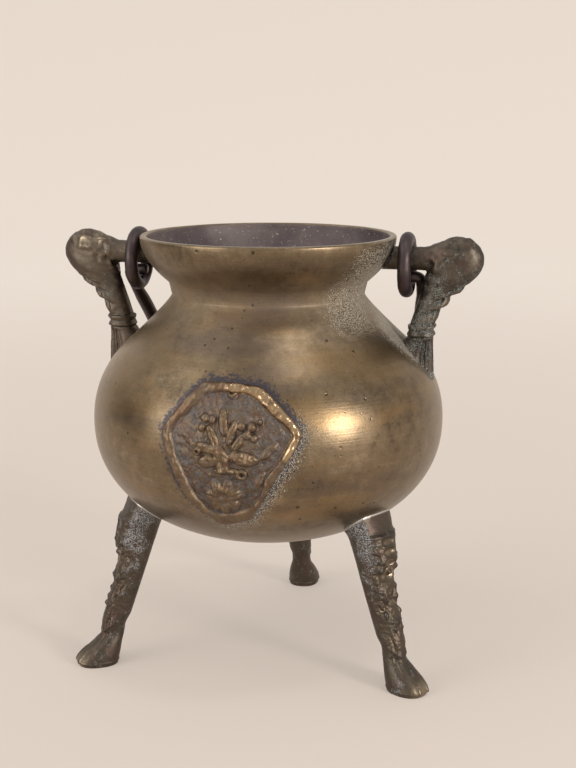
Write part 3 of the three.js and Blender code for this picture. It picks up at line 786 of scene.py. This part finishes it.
def wound_tube(name, sides, levels):
    """A plain tube of that many sides and levels, one unit to a level, to be shaped afterwards."""
    coarse = [(1, i * 4) for i in range(levels // 4 + 1)]
    tube = raise_rings(name, sides // 4, coarse)
    finer = tube.modifiers.new("finer", "SUBSURF")
    finer.subdivision_type = "SIMPLE"
    finer.levels = finer.render_levels = 2
    bpy.ops.object.modifier_apply(modifier="finer")
    places = points_of(tube)
    level = np.rint(places[:, 2]).astype(int)
    turn = np.arctan2(places[:, 1], places[:, 0])
    side = np.rint(turn / (2 * math.pi) * sides).astype(int) % sides
    return tube, level, side


def depth_in_vessel(grid, tuck):
    """How far each point lies inside the vessel's outside, drawn in by tuck, in mm."""
    edge = offset_outline(outline, -tuck)
    slope = np.gradient(edge[:, 0], edge[:, 1])
    reach = np.hypot(grid[..., 0], grid[..., 1])
    away = np.interp(grid[..., 2], edge[:, 1], edge[:, 0]) - reach
    return away / np.hypot(1, np.interp(grid[..., 2], edge[:, 1], slope))


def seat_in_wall(grid, tuck=1.0):
    """Ends each line of a leg or handle where it has gone tuck mm into the vessel's wall.
    Levels run from the free end to the seat."""
    depth = depth_in_vessel(grid, tuck)
    for side in range(grid.shape[1]):
        sunk = np.nonzero(depth[:, side] > 0)[0]
        if len(sunk):
            first = max(sunk[0], 1)
            a, b = depth[first - 1, side], depth[first, side]
            cut = grid[first - 1, side] + (grid[first, side] - grid[first - 1, side]) * (-a / (b - a))
            grid[first:, side] = cut
    return grid


leaf_top = leg_top_height - cap_height - 0.5
leaf_bottom = ankle_height + 7.5
leg_inner = leg_top_reach - leg_depth
instep_reach = (ankle_reach * 2 + toe_reach) / 3
instep_half_width = (ankle_half_width + toe_half_width) / 2
# Each station is a height, an inner and an outer reach, a half width and a squareness.
stations = [
    (0.0, heel_reach + sole_inset, toe_reach - sole_toe_inset, toe_half_width - sole_inset,
     foot_squareness),
    (toe_height * 0.4, heel_reach, toe_reach, toe_half_width, foot_squareness),
    (toe_height, heel_reach - heel_tuck, toe_reach - toe_slope, toe_half_width - toe_taper,
     foot_squareness),
    ((ankle_height + toe_height) / 2, heel_reach - heel_hollow, instep_reach, instep_half_width,
     foot_squareness),
    (ankle_height, ankle_reach - ankle_depth, ankle_reach, ankle_half_width, foot_squareness),
    (ankle_height + ankle_rise, ankle_reach - ankle_depth - ankle_swell, ankle_reach + ankle_swell,
     ankle_half_width, foot_squareness),
]
for i in range(calf_steps, -1, -1):
    share = i / calf_steps
    height = leaf_top + (leaf_bottom - leaf_top) * share
    waist = knee_reach + knee_swell * math.sin(min(share * 2.2, 1) * math.pi)
    outer = waist + (ankle_reach - waist) * share**2.2
    inner = leg_inner + leaf_inset + (heel_reach - calf_inset - leg_inner - leaf_inset) * share
    thinned = ankle_half_width + calf_swell + leaf_thinning - leg_half_width
    half = leg_half_width - leaf_thinning + thinned * share**0.62
    stations.append((height, inner, outer, half, leg_squareness))
for rise, spread, thinner, square in [(-cap_height + cap_edge, cap_spread, 1.2, 2.6),
                                      (-cap_height / 2, 0.6 * cap_spread, 0.8, 2.8),
                                      (0, 0, 0.3, cap_squareness),
                                      (6, -2.0, 0, cap_squareness),
                                      (12, -5, 0, cap_squareness)]:
    stations.append((leg_top_height + rise, leg_inner - cap_lean * rise, leg_top_reach + spread,
                     leg_half_width - thinner, square))
stations = np.array(stations)
leg_heights = np.linspace(0, stations[-1][0], leg_levels + 1)
inner, outer, half, square = smoothed(
    [np.interp(leg_heights, stations[:, 0], stations[:, k]) for k in range(1, 5)], 3)
turns = np.arange(leg_sides) / leg_sides * 2 * math.pi
inner_points = np.stack([inner, leg_heights], axis=-1)[:, None, :]
outer_points = np.stack([outer, leg_heights], axis=-1)[:, None, :]
leg_form = spoke_section(inner_points, outer_points, half[:, None], square[:, None], turns[None, :])


# Heights above the floor and sizes in mm, turns from the leg's front in radians.
leg_leaves = [(60, 50.5, 0.3), (50.5, 38.0, 0.8), (38.0, 27.0, 0.35), (27.0, 13.6, 0.6)]
leg_beads = [(58.4, 1.0), (54.4, 1.3), (50.3, 1.4), (38.2, 0.5), (34.4, 0.6)]
leg_pits = [(0.42, 36.0, 1.3), (0.62, 47.5, 1.1), (0.75, 30.2, 1.2), (0.3, 24.6, 0.9)]
leg_curls = [(0.95, 51.5), (1.05, 43.0), (1.0, 33.5)]
front_curl_height = 46.2
leg_round = 8.5


def leg_relief(height, turn, places):
    """The carving of a leg in mm: leaves with hard lower edges, a row of beads, sinews and toes."""
    turn = within_half_turn(turn)
    front = soft_step(np.cos(turn), -0.25, 0.35)
    tipped = height - 4.0 * (1 - np.cos(turn)) * (np.abs(turn) < 1.7)
    carved = np.zeros(len(height))
    for top, foot, proud in leg_leaves:
        share = np.clip((top - tipped) / (top - foot), 0, 1)
        carved = carved + proud * np.sin(share**1.2 * math.pi)
        carved = carved - 0.3 * hump(tipped, foot, 0.9)
    spread = turn * leg_round
    for bead, proud in leg_beads:
        round_off = np.clip(1 - (spread / 3.0) ** 2 - ((height - bead) / 1.8) ** 2, 0, 1)
        carved = carved + proud * np.sqrt(round_off)
    curled = np.hypot(spread, height - front_curl_height)
    carved = carved + 1.2 * hump(curled, 1.9, 0.8) - 0.6 * hump(curled, 0, 1.1)
    for side in (-1, 1):
        for pit_turn, pit_height, size in leg_pits:
            gap = np.hypot((turn - side * pit_turn) * 8, height - pit_height) / size
            carved = carved - 0.9 * hump(gap, 0, 1) + 0.35 * np.exp(-((gap - 1.9) ** 2) * 2)
        for curl_turn, curl_height in leg_curls:
            ring = np.hypot((turn - side * curl_turn) * leg_round, height - curl_height)
            carved = carved + 0.55 * hump(ring, 2.2, 0.7)
        sinew = hump(turn, side * (0.85 + 0.012 * (height - 8)), 0.17)
        carved = carved + 0.65 * sinew * band(height, 5, 9, 19, 25)
        cleft = hump(turn, side * 0.30, 0.09)
        carved = carved - 0.65 * cleft * band(height, 0.6, 1.8, 5.5, 8.5)
    sole_step = hump(height, 1.5, 0.35) * -0.25
    rough = 0.20 * unevenness(places, 1.5) + 0.14 * unevenness(places, 0.7)
    side_band = hump(np.abs(turn), 1.25, 0.55) * soft_step(height, 14, 24)
    below_cap = 1 - soft_step(height, leaf_top + 0.2, leaf_top + 1.0)
    foot = 1 - soft_step(height, 9, 13)
    carved = front * carved * below_cap * (1 - 0.25 * foot) + sole_step
    carved = carved + rough * (0.25 + 0.75 * front * below_cap + 0.5 * side_band) * (1 - 0.6 * foot)
    return carved - 0.35 * hump(height, leaf_top + 0.3, 0.6) * front


leg_pattern, level, side = wound_tube("leg_pattern", leg_sides, leg_levels)
leg_grid = seat_in_wall(leg_form.copy())
leg_free = leg_form[level, side]
leg_seated = leg_grid[level, side]
on_seat = np.linalg.norm(leg_free - leg_seated, axis=1) > 1e-6
place_points(leg_pattern, leg_seated * mm)


def seam_distance(places):
    """How far points are from the vessel's outside, in mm, for solder along a joint."""
    return np.abs(depth_in_vessel(places, 0.0))


def copy_of(piece, name):
    copied = piece.copy()
    copied.data = piece.data.copy()
    copied.name = name
    bpy.context.scene.collection.objects.link(copied)
    return copied


def turned_about(places, azimuth):
    c, s = math.cos(azimuth), math.sin(azimuth)
    x, y, z = places.T
    return np.column_stack([c * x - s * y, s * x + c * y, z])


leg_metal, tree, shader, metal = old_metal_finish("leg_bronze", 0.00015, {
    "Bright": (0.30, 0.235, 0.165, 1),
    "Middle": (0.092, 0.073, 0.054, 1),
    "Dark": (0.038, 0.032, 0.029, 1),
    "Crust": (0.30, 0.31, 0.33, 1),
    "Tint": (0.092, 0.060, 0.050, 1),
    "Patch Scale": 110,
    "Grain Scale": 1300,
})
tree.links.new(scaled(tree, mark_on(tree, "solder"), 0.72), metal.inputs["Crust Amount"])
seam_white = (0.50, 0.48, 0.45, 1)
whitened = blend_colours(tree, mark_on(tree, "seam"), metal.outputs["Color"], seam_white)
tree.links.new(whitened, shader.inputs["Base Color"])

for name, azimuth in leg_azimuths.items():
    leg = copy_of(leg_pattern, name + "_cast")
    seed = np.array([0.0, 0.0, 40.0 * azimuth])
    carved = leg_relief(leg_free[:, 2], side / leg_sides * 2 * math.pi, leg_free + seed)
    carved = np.where(on_seat, 0, carved) * soft_step(leg_free[:, 2], 0.0, 0.8)
    places = leg_seated + normals_of(leg_pattern) * carved[:, None]
    places[:, 2] = np.maximum(places[:, 2], 0)
    place_points(leg, turned_about(places, math.radians(azimuth)) * mm + axis)
    rubbed_toe = soft_step(places[:, 0], toe_reach - 7, toe_reach)
    stain(leg, "relief", 0.38 + 0.38 * carved + 0.6 * rubbed_toe)
    from_front = np.abs((side / leg_sides + 0.5) % 1 - 0.5)
    sides_crust = hump(from_front, 0.2, 0.08)
    near_top = soft_step(places[:, 2], 30, 62)
    stain(leg, "solder", (0.15 + 0.85 * near_top) * sides_crust)
    stain(leg, "seam", np.exp(-((seam_distance(places) / 0.5) ** 4)))
    close_ends(leg)
    leg.data.materials.append(leg_metal)
    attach(leg, "pot")
    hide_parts(name)
    joint = np.array([[(leg_inner + leg_top_reach) / 2, 0, leg_top_height - 6]])
    joint = turned_about(joint, math.radians(azimuth))[0]
    gap = np.linalg.norm((points_of(vessel) - axis) / mm - joint, axis=1)
    stain(vessel, "solder", 0.35 * hump(gap, 12, 2.2) * on_outside)
bpy.data.objects.remove(leg_pattern)

# Handles: two cast handles, each a round arm, a swelling head like a snout, a knuckled stem, a
# beaded collar and a fluted foot, soldered to the flare and the shoulder. The rings hang on the arms.
handle_azimuths = {"handle_left": 180, "handle_right": 0}
handle_levels = 288
handle_sides = 112
arm_radius = 4.55
arm_height = rim_height - 8.3
arm_start_inset = 1.8
arm_shoulder = 0.55
ring_axial_width = 5.4
ring_rim_gap = 1.3
hook_rod_radius = 2.3
hook_ring_gap = 0.3
hook_head_gap = 0.6
ring_reach = rim_radius + ring_rim_gap + ring_axial_width / 2
hook_reach = ring_reach + ring_axial_width / 2 + hook_ring_gap + hook_rod_radius
head_start = hook_reach + hook_head_gap + hook_rod_radius + arm_shoulder
head_length = 22
head_depth = 9
head_half_width = 6.2
head_steps = 9
head_first_turn = 118
head_last_turn = -50
head_corner_drop = 1
head_inner_run = 8
throat_hollow = 2.6
stem_half_width = 5
stem_steps = 5
stem_inset = 6.2
stem_waist = 2.6
stem_end_proud = 0.6
stem_end_gap = 1.2
knuckle_swell = 0.7
round_section = 2.0
stem_section = 2.3
collar_section = 2.6
foot_section = 2.4
collar_height = neck_height - 13
collar_half_width = 5.9
collar_bead = 1.6
collar_proud = 0.9
foot_reach = belly_radius - 4.3
foot_half_width = 8.4
foot_length = 20.5
foot_depth = 13
foot_steps = 4
foot_neck_inset = 0.4

arm_top, arm_under = arm_height + arm_radius, arm_height - arm_radius
arm_begin, arm_end = rim_radius - arm_start_inset, head_start - arm_shoulder
# Each station is an inner point, an outer point, a half width and a squareness.
handle_stations = [(x, arm_under, x, arm_top, arm_radius, round_section) for x in (arm_begin, arm_end)]
head_middle = (head_start + head_length * 0.55, rim_height + 0.3 - head_depth)
for i in range(head_steps + 1):
    share = i / head_steps
    turn = math.radians(head_first_turn + (head_last_turn - head_first_turn) * share)
    outer_x = head_middle[0] + head_length * 0.45 * math.cos(turn)
    outer_z = head_middle[1] + head_depth * math.sin(turn)
    swell = arm_radius + (head_half_width - arm_radius) * math.sin(min(share * 1.3, 0.5) * math.pi)
    half = (swell + stem_half_width) / 2 if share > 0.8 else swell
    inner_x = head_start - throat_hollow * share
    inner_z = arm_under - head_corner_drop - head_inner_run * share
    handle_stations.append((inner_x, inner_z, outer_x, outer_z, half, round_section))
stem_top = handle_stations[-1]
stem_foot = collar_height + collar_bead + stem_end_gap
for i in range(1, stem_steps + 1):
    share = i / stem_steps
    knuckle = knuckle_swell if i % 2 else -knuckle_swell
    outer_x = stem_top[2] + (foot_reach + stem_end_proud - stem_top[2]) * share
    outer_x += knuckle - stem_waist * math.sin(share * math.pi)
    outer_z = stem_top[3] + (stem_foot - stem_top[3]) * share
    inner_x = stem_top[0] + (head_start - stem_inset - stem_top[0]) * share
    inner_z = stem_top[1] + (stem_foot - stem_top[1]) * share
    half = stem_half_width + knuckle * 0.3
    handle_stations.append((inner_x, inner_z, outer_x, outer_z, half, stem_section))
for bead_side in (1, 0, -1):
    proud = collar_proud * abs(bead_side)
    bead_z = collar_height + bead_side * collar_bead
    inner_x = head_start - stem_inset - collar_proud
    half = collar_half_width + proud / 2
    handle_stations.append((inner_x, bead_z, foot_reach + proud, bead_z, half, collar_section))
foot_neck = collar_half_width - foot_neck_inset
for i in range(foot_steps + 1):
    share = i / foot_steps
    foot_z = collar_height - 2 * collar_bead - foot_length * share
    half = foot_neck + (foot_half_width - foot_neck) * share**0.8
    inner_x = foot_reach - foot_depth + 2.6 - 4.6 * min(share * 3, 1)
    outer_x = foot_reach + collar_proud * share
    handle_stations.append((inner_x, foot_z, outer_x, foot_z, half, foot_section))
handle_stations = np.array(handle_stations)
travel = np.hypot(*np.diff(handle_stations[:, [2, 3]], axis=0).T) + 0.6
travel = np.concatenate([[0], np.cumsum(travel)])
handle_travel = np.linspace(0, travel[-1], handle_levels + 1)
inner_x, inner_z, outer_x, outer_z, half, square = smoothed(
    [np.interp(handle_travel, travel, handle_stations[:, k]) for k in range(6)], 3)
turns = np.arange(handle_sides) / handle_sides * 2 * math.pi
inner_points = np.stack([inner_x, inner_z], axis=-1)[:, None, :]
outer_points = np.stack([outer_x, outer_z], axis=-1)[:, None, :]
handle_form = spoke_section(inner_points, outer_points, half[:, None], square[:, None], turns[None, :])
flare_edge = np.interp(handle_form[..., 2], outline[:, 1], outline[:, 0]) + 0.25
clear = np.sqrt(np.maximum(flare_edge**2 - handle_form[..., 1] ** 2, 0))
on_arm = handle_form[..., 2] > arm_under - 0.5
handle_form[..., 0] = np.where(on_arm, np.maximum(handle_form[..., 0], clear), handle_form[..., 0])


def handle_relief(travelled, turn, places):
    """The carving of a handle in mm: brow and snout, knuckles, collar fillets and flutes."""
    turn = within_half_turn(turn)
    front = soft_step(np.cos(turn), -0.15, 0.4)
    stem_begin, stem_end = travel[12], travel[16]
    on_stem = band(travelled, stem_begin - 4, stem_begin, stem_end - 1, stem_end + 1)
    on_head = band(travelled, travel[2], travel[4], travel[10], travel[12])
    lumps = np.sin((travelled - stem_begin + 1.5 * np.cos(turn)) / 7.6 * math.pi) ** 2
    carved = on_stem * front * (1.2 * lumps**0.7 - 0.5)
    carved = carved - 0.45 * on_stem * hump(turn, 0, 0.14)
    for side in (-1, 1):
        carved = carved - 0.55 * on_stem * hump(turn, side * 1.0, 0.13)
    mane = band(travelled, travel[1] - 3, travel[2], travel[5], travel[7])
    carved = carved + mane * (0.8 * unevenness(places + 9.0, 2.6) + 0.3)
    head_lumps = 0.25 * unevenness(places + 5.0, 7.0) + 0.12 * unevenness(places, 2.4)
    carved = carved + on_head * head_lumps
    for fillet in (travel[17], travel[19]):
        carved = carved + 0.35 * hump(travelled, fillet, 0.8)
    for groove in (travel[17] - 1.5, (travel[17] + travel[19]) / 2, travel[19] + 1.4):
        carved = carved - 0.4 * hump(travelled, groove, 0.5)
    on_foot = soft_step(travelled, travel[20] - 0.8, travel[20] + 1.0)
    flute = 0.5 - 0.5 * np.cos(22 * turn)
    carved = carved - on_foot * 0.8 * flute**1.3 * front
    rough = 0.24 * unevenness(places, 1.6) + 0.14 * unevenness(places, 0.75)
    rough = rough + 0.25 * unevenness(places, 4.0)
    return carved + rough * (0.35 + 0.65 * on_stem * front) * (1 - 0.4 * on_head)


handle_pattern, level, side = wound_tube("handle_pattern", handle_sides, handle_levels)
handle_free = handle_form[level, side]
handle_grid = seat_in_wall(handle_form.copy())
handle_seated = handle_grid[level, side]
on_seat = np.linalg.norm(handle_free - handle_seated, axis=1) > 1e-6
at_arm_end = level < 2
place_points(handle_pattern, handle_seated * mm)

handle_metal, tree, shader, metal = old_metal_finish("handle_bronze", 0.00012, {
    "Bright": (0.33, 0.26, 0.185, 1),
    "Middle": (0.115, 0.092, 0.070, 1),
    "Dark": (0.026, 0.026, 0.024, 1),
    "Crust": (0.21, 0.225, 0.21, 1),
    "Tint": (0.085, 0.058, 0.046, 1),
    "Patch Scale": 120,
    "Grain Scale": 1250,
})
tree.links.new(scaled(tree, mark_on(tree, "solder"), 0.58), metal.inputs["Crust Amount"])

# The left handle is rubbed brighter. The right one is dustier, and solder fills its arm's gap.
rubbed = {"handle_left": 0.52, "handle_right": 0.26}
dusty = {"handle_left": 0.42, "handle_right": 0.82}
soldered = {"handle_left": 0.45, "handle_right": 0.95}

for name, azimuth in handle_azimuths.items():
    handle = copy_of(handle_pattern, name + "_cast")
    seed = np.array([0.0, 70.0 + azimuth, 0.0])
    turned = side / handle_sides * 2 * math.pi
    carved = handle_relief(handle_travel[level], turned, handle_free + seed)
    carved = np.where(on_seat | at_arm_end, 0, carved) * soft_step(level, 1, 8)
    places = handle_seated + normals_of(handle_pattern) * carved[:, None]
    if name == "handle_right":
        to_flare = np.maximum(handle_free[:, 0] - clear[level, side], 0)
        places[:, 0] -= to_flare * (level < 3) * on_arm[level, side]
    place_points(handle, turned_about(places, math.radians(azimuth)) * mm + axis)
    stain(handle, "relief", rubbed[name] + 0.38 * carved)
    at_seam = hump(seam_distance(places), 0, 1.0)
    below_arm = soft_step(-places[:, 2], -arm_height, -collar_height - 8)
    above_foot = 1 - 0.6 * soft_step(-places[:, 2], -collar_height, 3 - collar_height)
    stem_dust = below_arm * soft_step(np.abs(places[:, 1]), 1, 5) * above_foot
    stain(handle, "solder", np.maximum(at_seam, 0.7 * stem_dust) * dusty[name])
    close_ends(handle)
    handle.data.materials.append(handle_metal)
    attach(handle, "pot")
    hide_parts(name)
    seen = turned_about((points_of(vessel) - axis) / mm, math.radians(-azimuth))
    joint = np.hypot(seen[:, 1] / 1.25, (seen[:, 2] - (collar_height - 4)) / 1.1) - 7
    on_side = (seen[:, 0] > 30) * (np.hypot(seen[:, 0], seen[:, 1]) > outside_reach - 1)
    at_joint = hump(np.maximum(joint, 0), 0, 3.4)
    stain(vessel, "solder", soldered[name] * at_joint * on_side)
    smear = np.hypot((seen[:, 1] + 9) / 1.6, (seen[:, 2] - arm_height + 6) / 1.7) - 5
    at_smear = hump(np.maximum(smear, 0), 0, 5)
    stain(vessel, "solder", (soldered[name] - 0.25) * at_smear * on_side)
bpy.data.objects.remove(handle_pattern)

# Rings: two closed rings of iron rod, worn smooth and nearly black, which hang loose on the arms
# of the handles. They lean back with the bail that is hooked through them.
ring_play = 0.85
ring_hole_radius = arm_radius + hook_rod_radius + ring_play
ring_radial_width = 5.2
carrier_shift = 0.6
ring_swing = math.radians(20)
ring_drop = ring_hole_radius - arm_radius - hook_ring_gap

iron = old_metal_finish("dark_iron", 0.0001, {
    "Bright": (0.155, 0.118, 0.108, 1),
    "Middle": (0.076, 0.058, 0.058, 1),
    "Dark": (0.034, 0.027, 0.029, 1),
    "Crust": (0.13, 0.085, 0.055, 1),
    "Tint": (0.062, 0.044, 0.050, 1),
    "Crust Amount": 0.05,
    "Patch Scale": 130,
    "Grain Scale": 900,
})[0]

for name, side in [("ring_left", -1), ("ring_right", 1)]:
    bpy.ops.object.select_all(action="DESELECT")
    centre = np.array([carrier_shift + side * ring_reach, ring_drop * math.sin(ring_swing),
                       arm_height - ring_drop * math.cos(ring_swing)]) * mm + axis
    bpy.ops.mesh.primitive_torus_add(
        major_segments=144, minor_segments=40, location=centre, rotation=(0, math.pi / 2, 0),
        major_radius=(ring_hole_radius + ring_radial_width / 2) * mm,
        minor_radius=ring_radial_width / 2 * mm)
    ring = bpy.context.object
    ring.name = name + "_forged"
    bpy.ops.object.transform_apply(location=True, rotation=True, scale=True)
    places = points_of(ring)
    places[:, 0] = centre[0] + (places[:, 0] - centre[0]) * ring_axial_width / ring_radial_width
    worn = 0.10 * unevenness(places, 0.0045) + 0.06 * unevenness(places, 0.0016)
    place_points(ring, places + normals_of(ring) * (worn - 0.06)[:, None] * mm)
    stain(ring, "relief", 0.5 + 1.8 * worn)
    bpy.ops.object.shade_smooth()
    ring.data.materials.append(iron)
    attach(ring, "bail")
    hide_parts(name)

# Bail: one iron rod bent to a bow, its two ends hooked inwards through the rings. It hangs down
# behind the pot, where the belly stops it.
bail_sag = math.radians(45)
bail_rod_radius = 2.8
bail_belly_gap = 0.9
bail_leg_length = 55
bail_crown_reach = 8.5
bail_levels = 440
bail_sides = 28
hook_bend = 3.4
hook_thin_run = 8
hook_swell_run = 14
hook_drop = ring_drop + ring_hole_radius - hook_rod_radius - hook_ring_gap


def side_clear_of_belly(along):
    """How far to the side the rod has to stay to clear the belly, that far down the bail."""
    back = hook_drop * math.sin(ring_swing) + along * math.cos(bail_sag)
    height = arm_height - hook_drop * math.cos(ring_swing) - along * math.sin(bail_sag)
    reach = bail_rod_radius + bail_belly_gap
    side = 0.0
    for lift in (-reach, -reach / 2, 0, reach / 2, reach):
        offset = height + lift - belly_mid_height
        if -belly_drop <= offset <= belly_rise:
            kept_off = float(belly_radius_at(height + lift)) + math.sqrt(reach**2 - lift**2)
            side = max(side, math.sqrt(max(kept_off**2 - back**2, 0)))
    return side


leg_spread = 0.0
belly_end = 0
for along in range(20, int(3 * belly_radius)):
    clear_side = side_clear_of_belly(along)
    leg_spread = max(leg_spread, clear_side + carrier_shift)
    if clear_side > 0:
        belly_end = along
bail_length = belly_end + bail_crown_reach
bow = bail_length - bail_leg_length
tip = ring_reach - ring_axial_width / 2 - 0.2
roundness = 0.5523


def bezier(points, steps):
    """Points along a curve of any degree, by its control points."""
    t = np.linspace(0, 1, steps)[:, None]
    curve = [np.array(p, float) + 0 * t for p in points]
    while len(curve) > 1:
        curve = [a * (1 - t) + b * t for a, b in zip(curve, curve[1:])]
    return curve[0]


half_path = np.concatenate([
    bezier([(tip, 0), (hook_reach - hook_bend, 0)], 20),
    bezier([(hook_reach - hook_bend, 0), (hook_reach, 0), (hook_reach, hook_bend)], 30)[1:],
    bezier([(hook_reach, hook_bend), (hook_reach, bail_leg_length * 0.3),
            (leg_spread, bail_leg_length * 0.4), (leg_spread, bail_leg_length)], 120)[1:],
    bezier([(leg_spread, bail_leg_length), (leg_spread, bail_leg_length + bow * roundness),
            (leg_spread * roundness, bail_length), (0, bail_length)], 200)[1:],
])
whole_path = np.concatenate([half_path, half_path[-2::-1] * [-1, 1]])
run = np.concatenate([[0], np.cumsum(np.hypot(*np.diff(whole_path, axis=0).T))])
bail_run = np.linspace(0, run[-1], bail_levels + 1)
path = np.column_stack([np.interp(bail_run, run, whole_path[:, k]) for k in range(2)])
forward = np.gradient(path, axis=0)
forward /= np.linalg.norm(forward, axis=1)[:, None]
sideways = np.column_stack([forward[:, 1], -forward[:, 0]])
from_end = np.minimum(bail_run, run[-1] - bail_run)
thin_end = hook_reach - tip + hook_thin_run
swell = soft_step(from_end, thin_end, thin_end + hook_swell_run)
rod_radius = hook_rod_radius + (bail_rod_radius - hook_rod_radius) * swell
rod_radius = rod_radius * np.clip(from_end / 0.7 + 0.55, 0, 1) ** 0.5
bail, level, side = wound_tube("bail_forged", bail_sides, bail_levels)
turn = side / bail_sides * 2 * math.pi
flat_out = path[level] + sideways[level] * (rod_radius[level] * np.cos(turn))[:, None]
flat_up = rod_radius[level] * np.sin(turn)
hang = -bail_sag
pivot_back = hook_drop * math.sin(ring_swing)
pivot_height = arm_height - hook_drop * math.cos(ring_swing)
pivot = np.array([carrier_shift, pivot_back, pivot_height])
places = np.column_stack([flat_out[:, 0],
                          flat_out[:, 1] * math.cos(hang) - flat_up * math.sin(hang),
                          flat_out[:, 1] * math.sin(hang) + flat_up * math.cos(hang)]) + pivot
place_points(bail, places * mm + axis)
worn = 0.09 * unevenness(places, 5.0) + 0.06 * unevenness(places, 1.8)
place_points(bail, (places + normals_of(bail) * (worn - 0.05)[:, None]) * mm + axis)
stain(bail, "relief", 0.5 + 1.8 * worn)
close_ends(bail)
bail.data.materials.append(iron)
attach(bail, "bail")
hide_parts("bail")
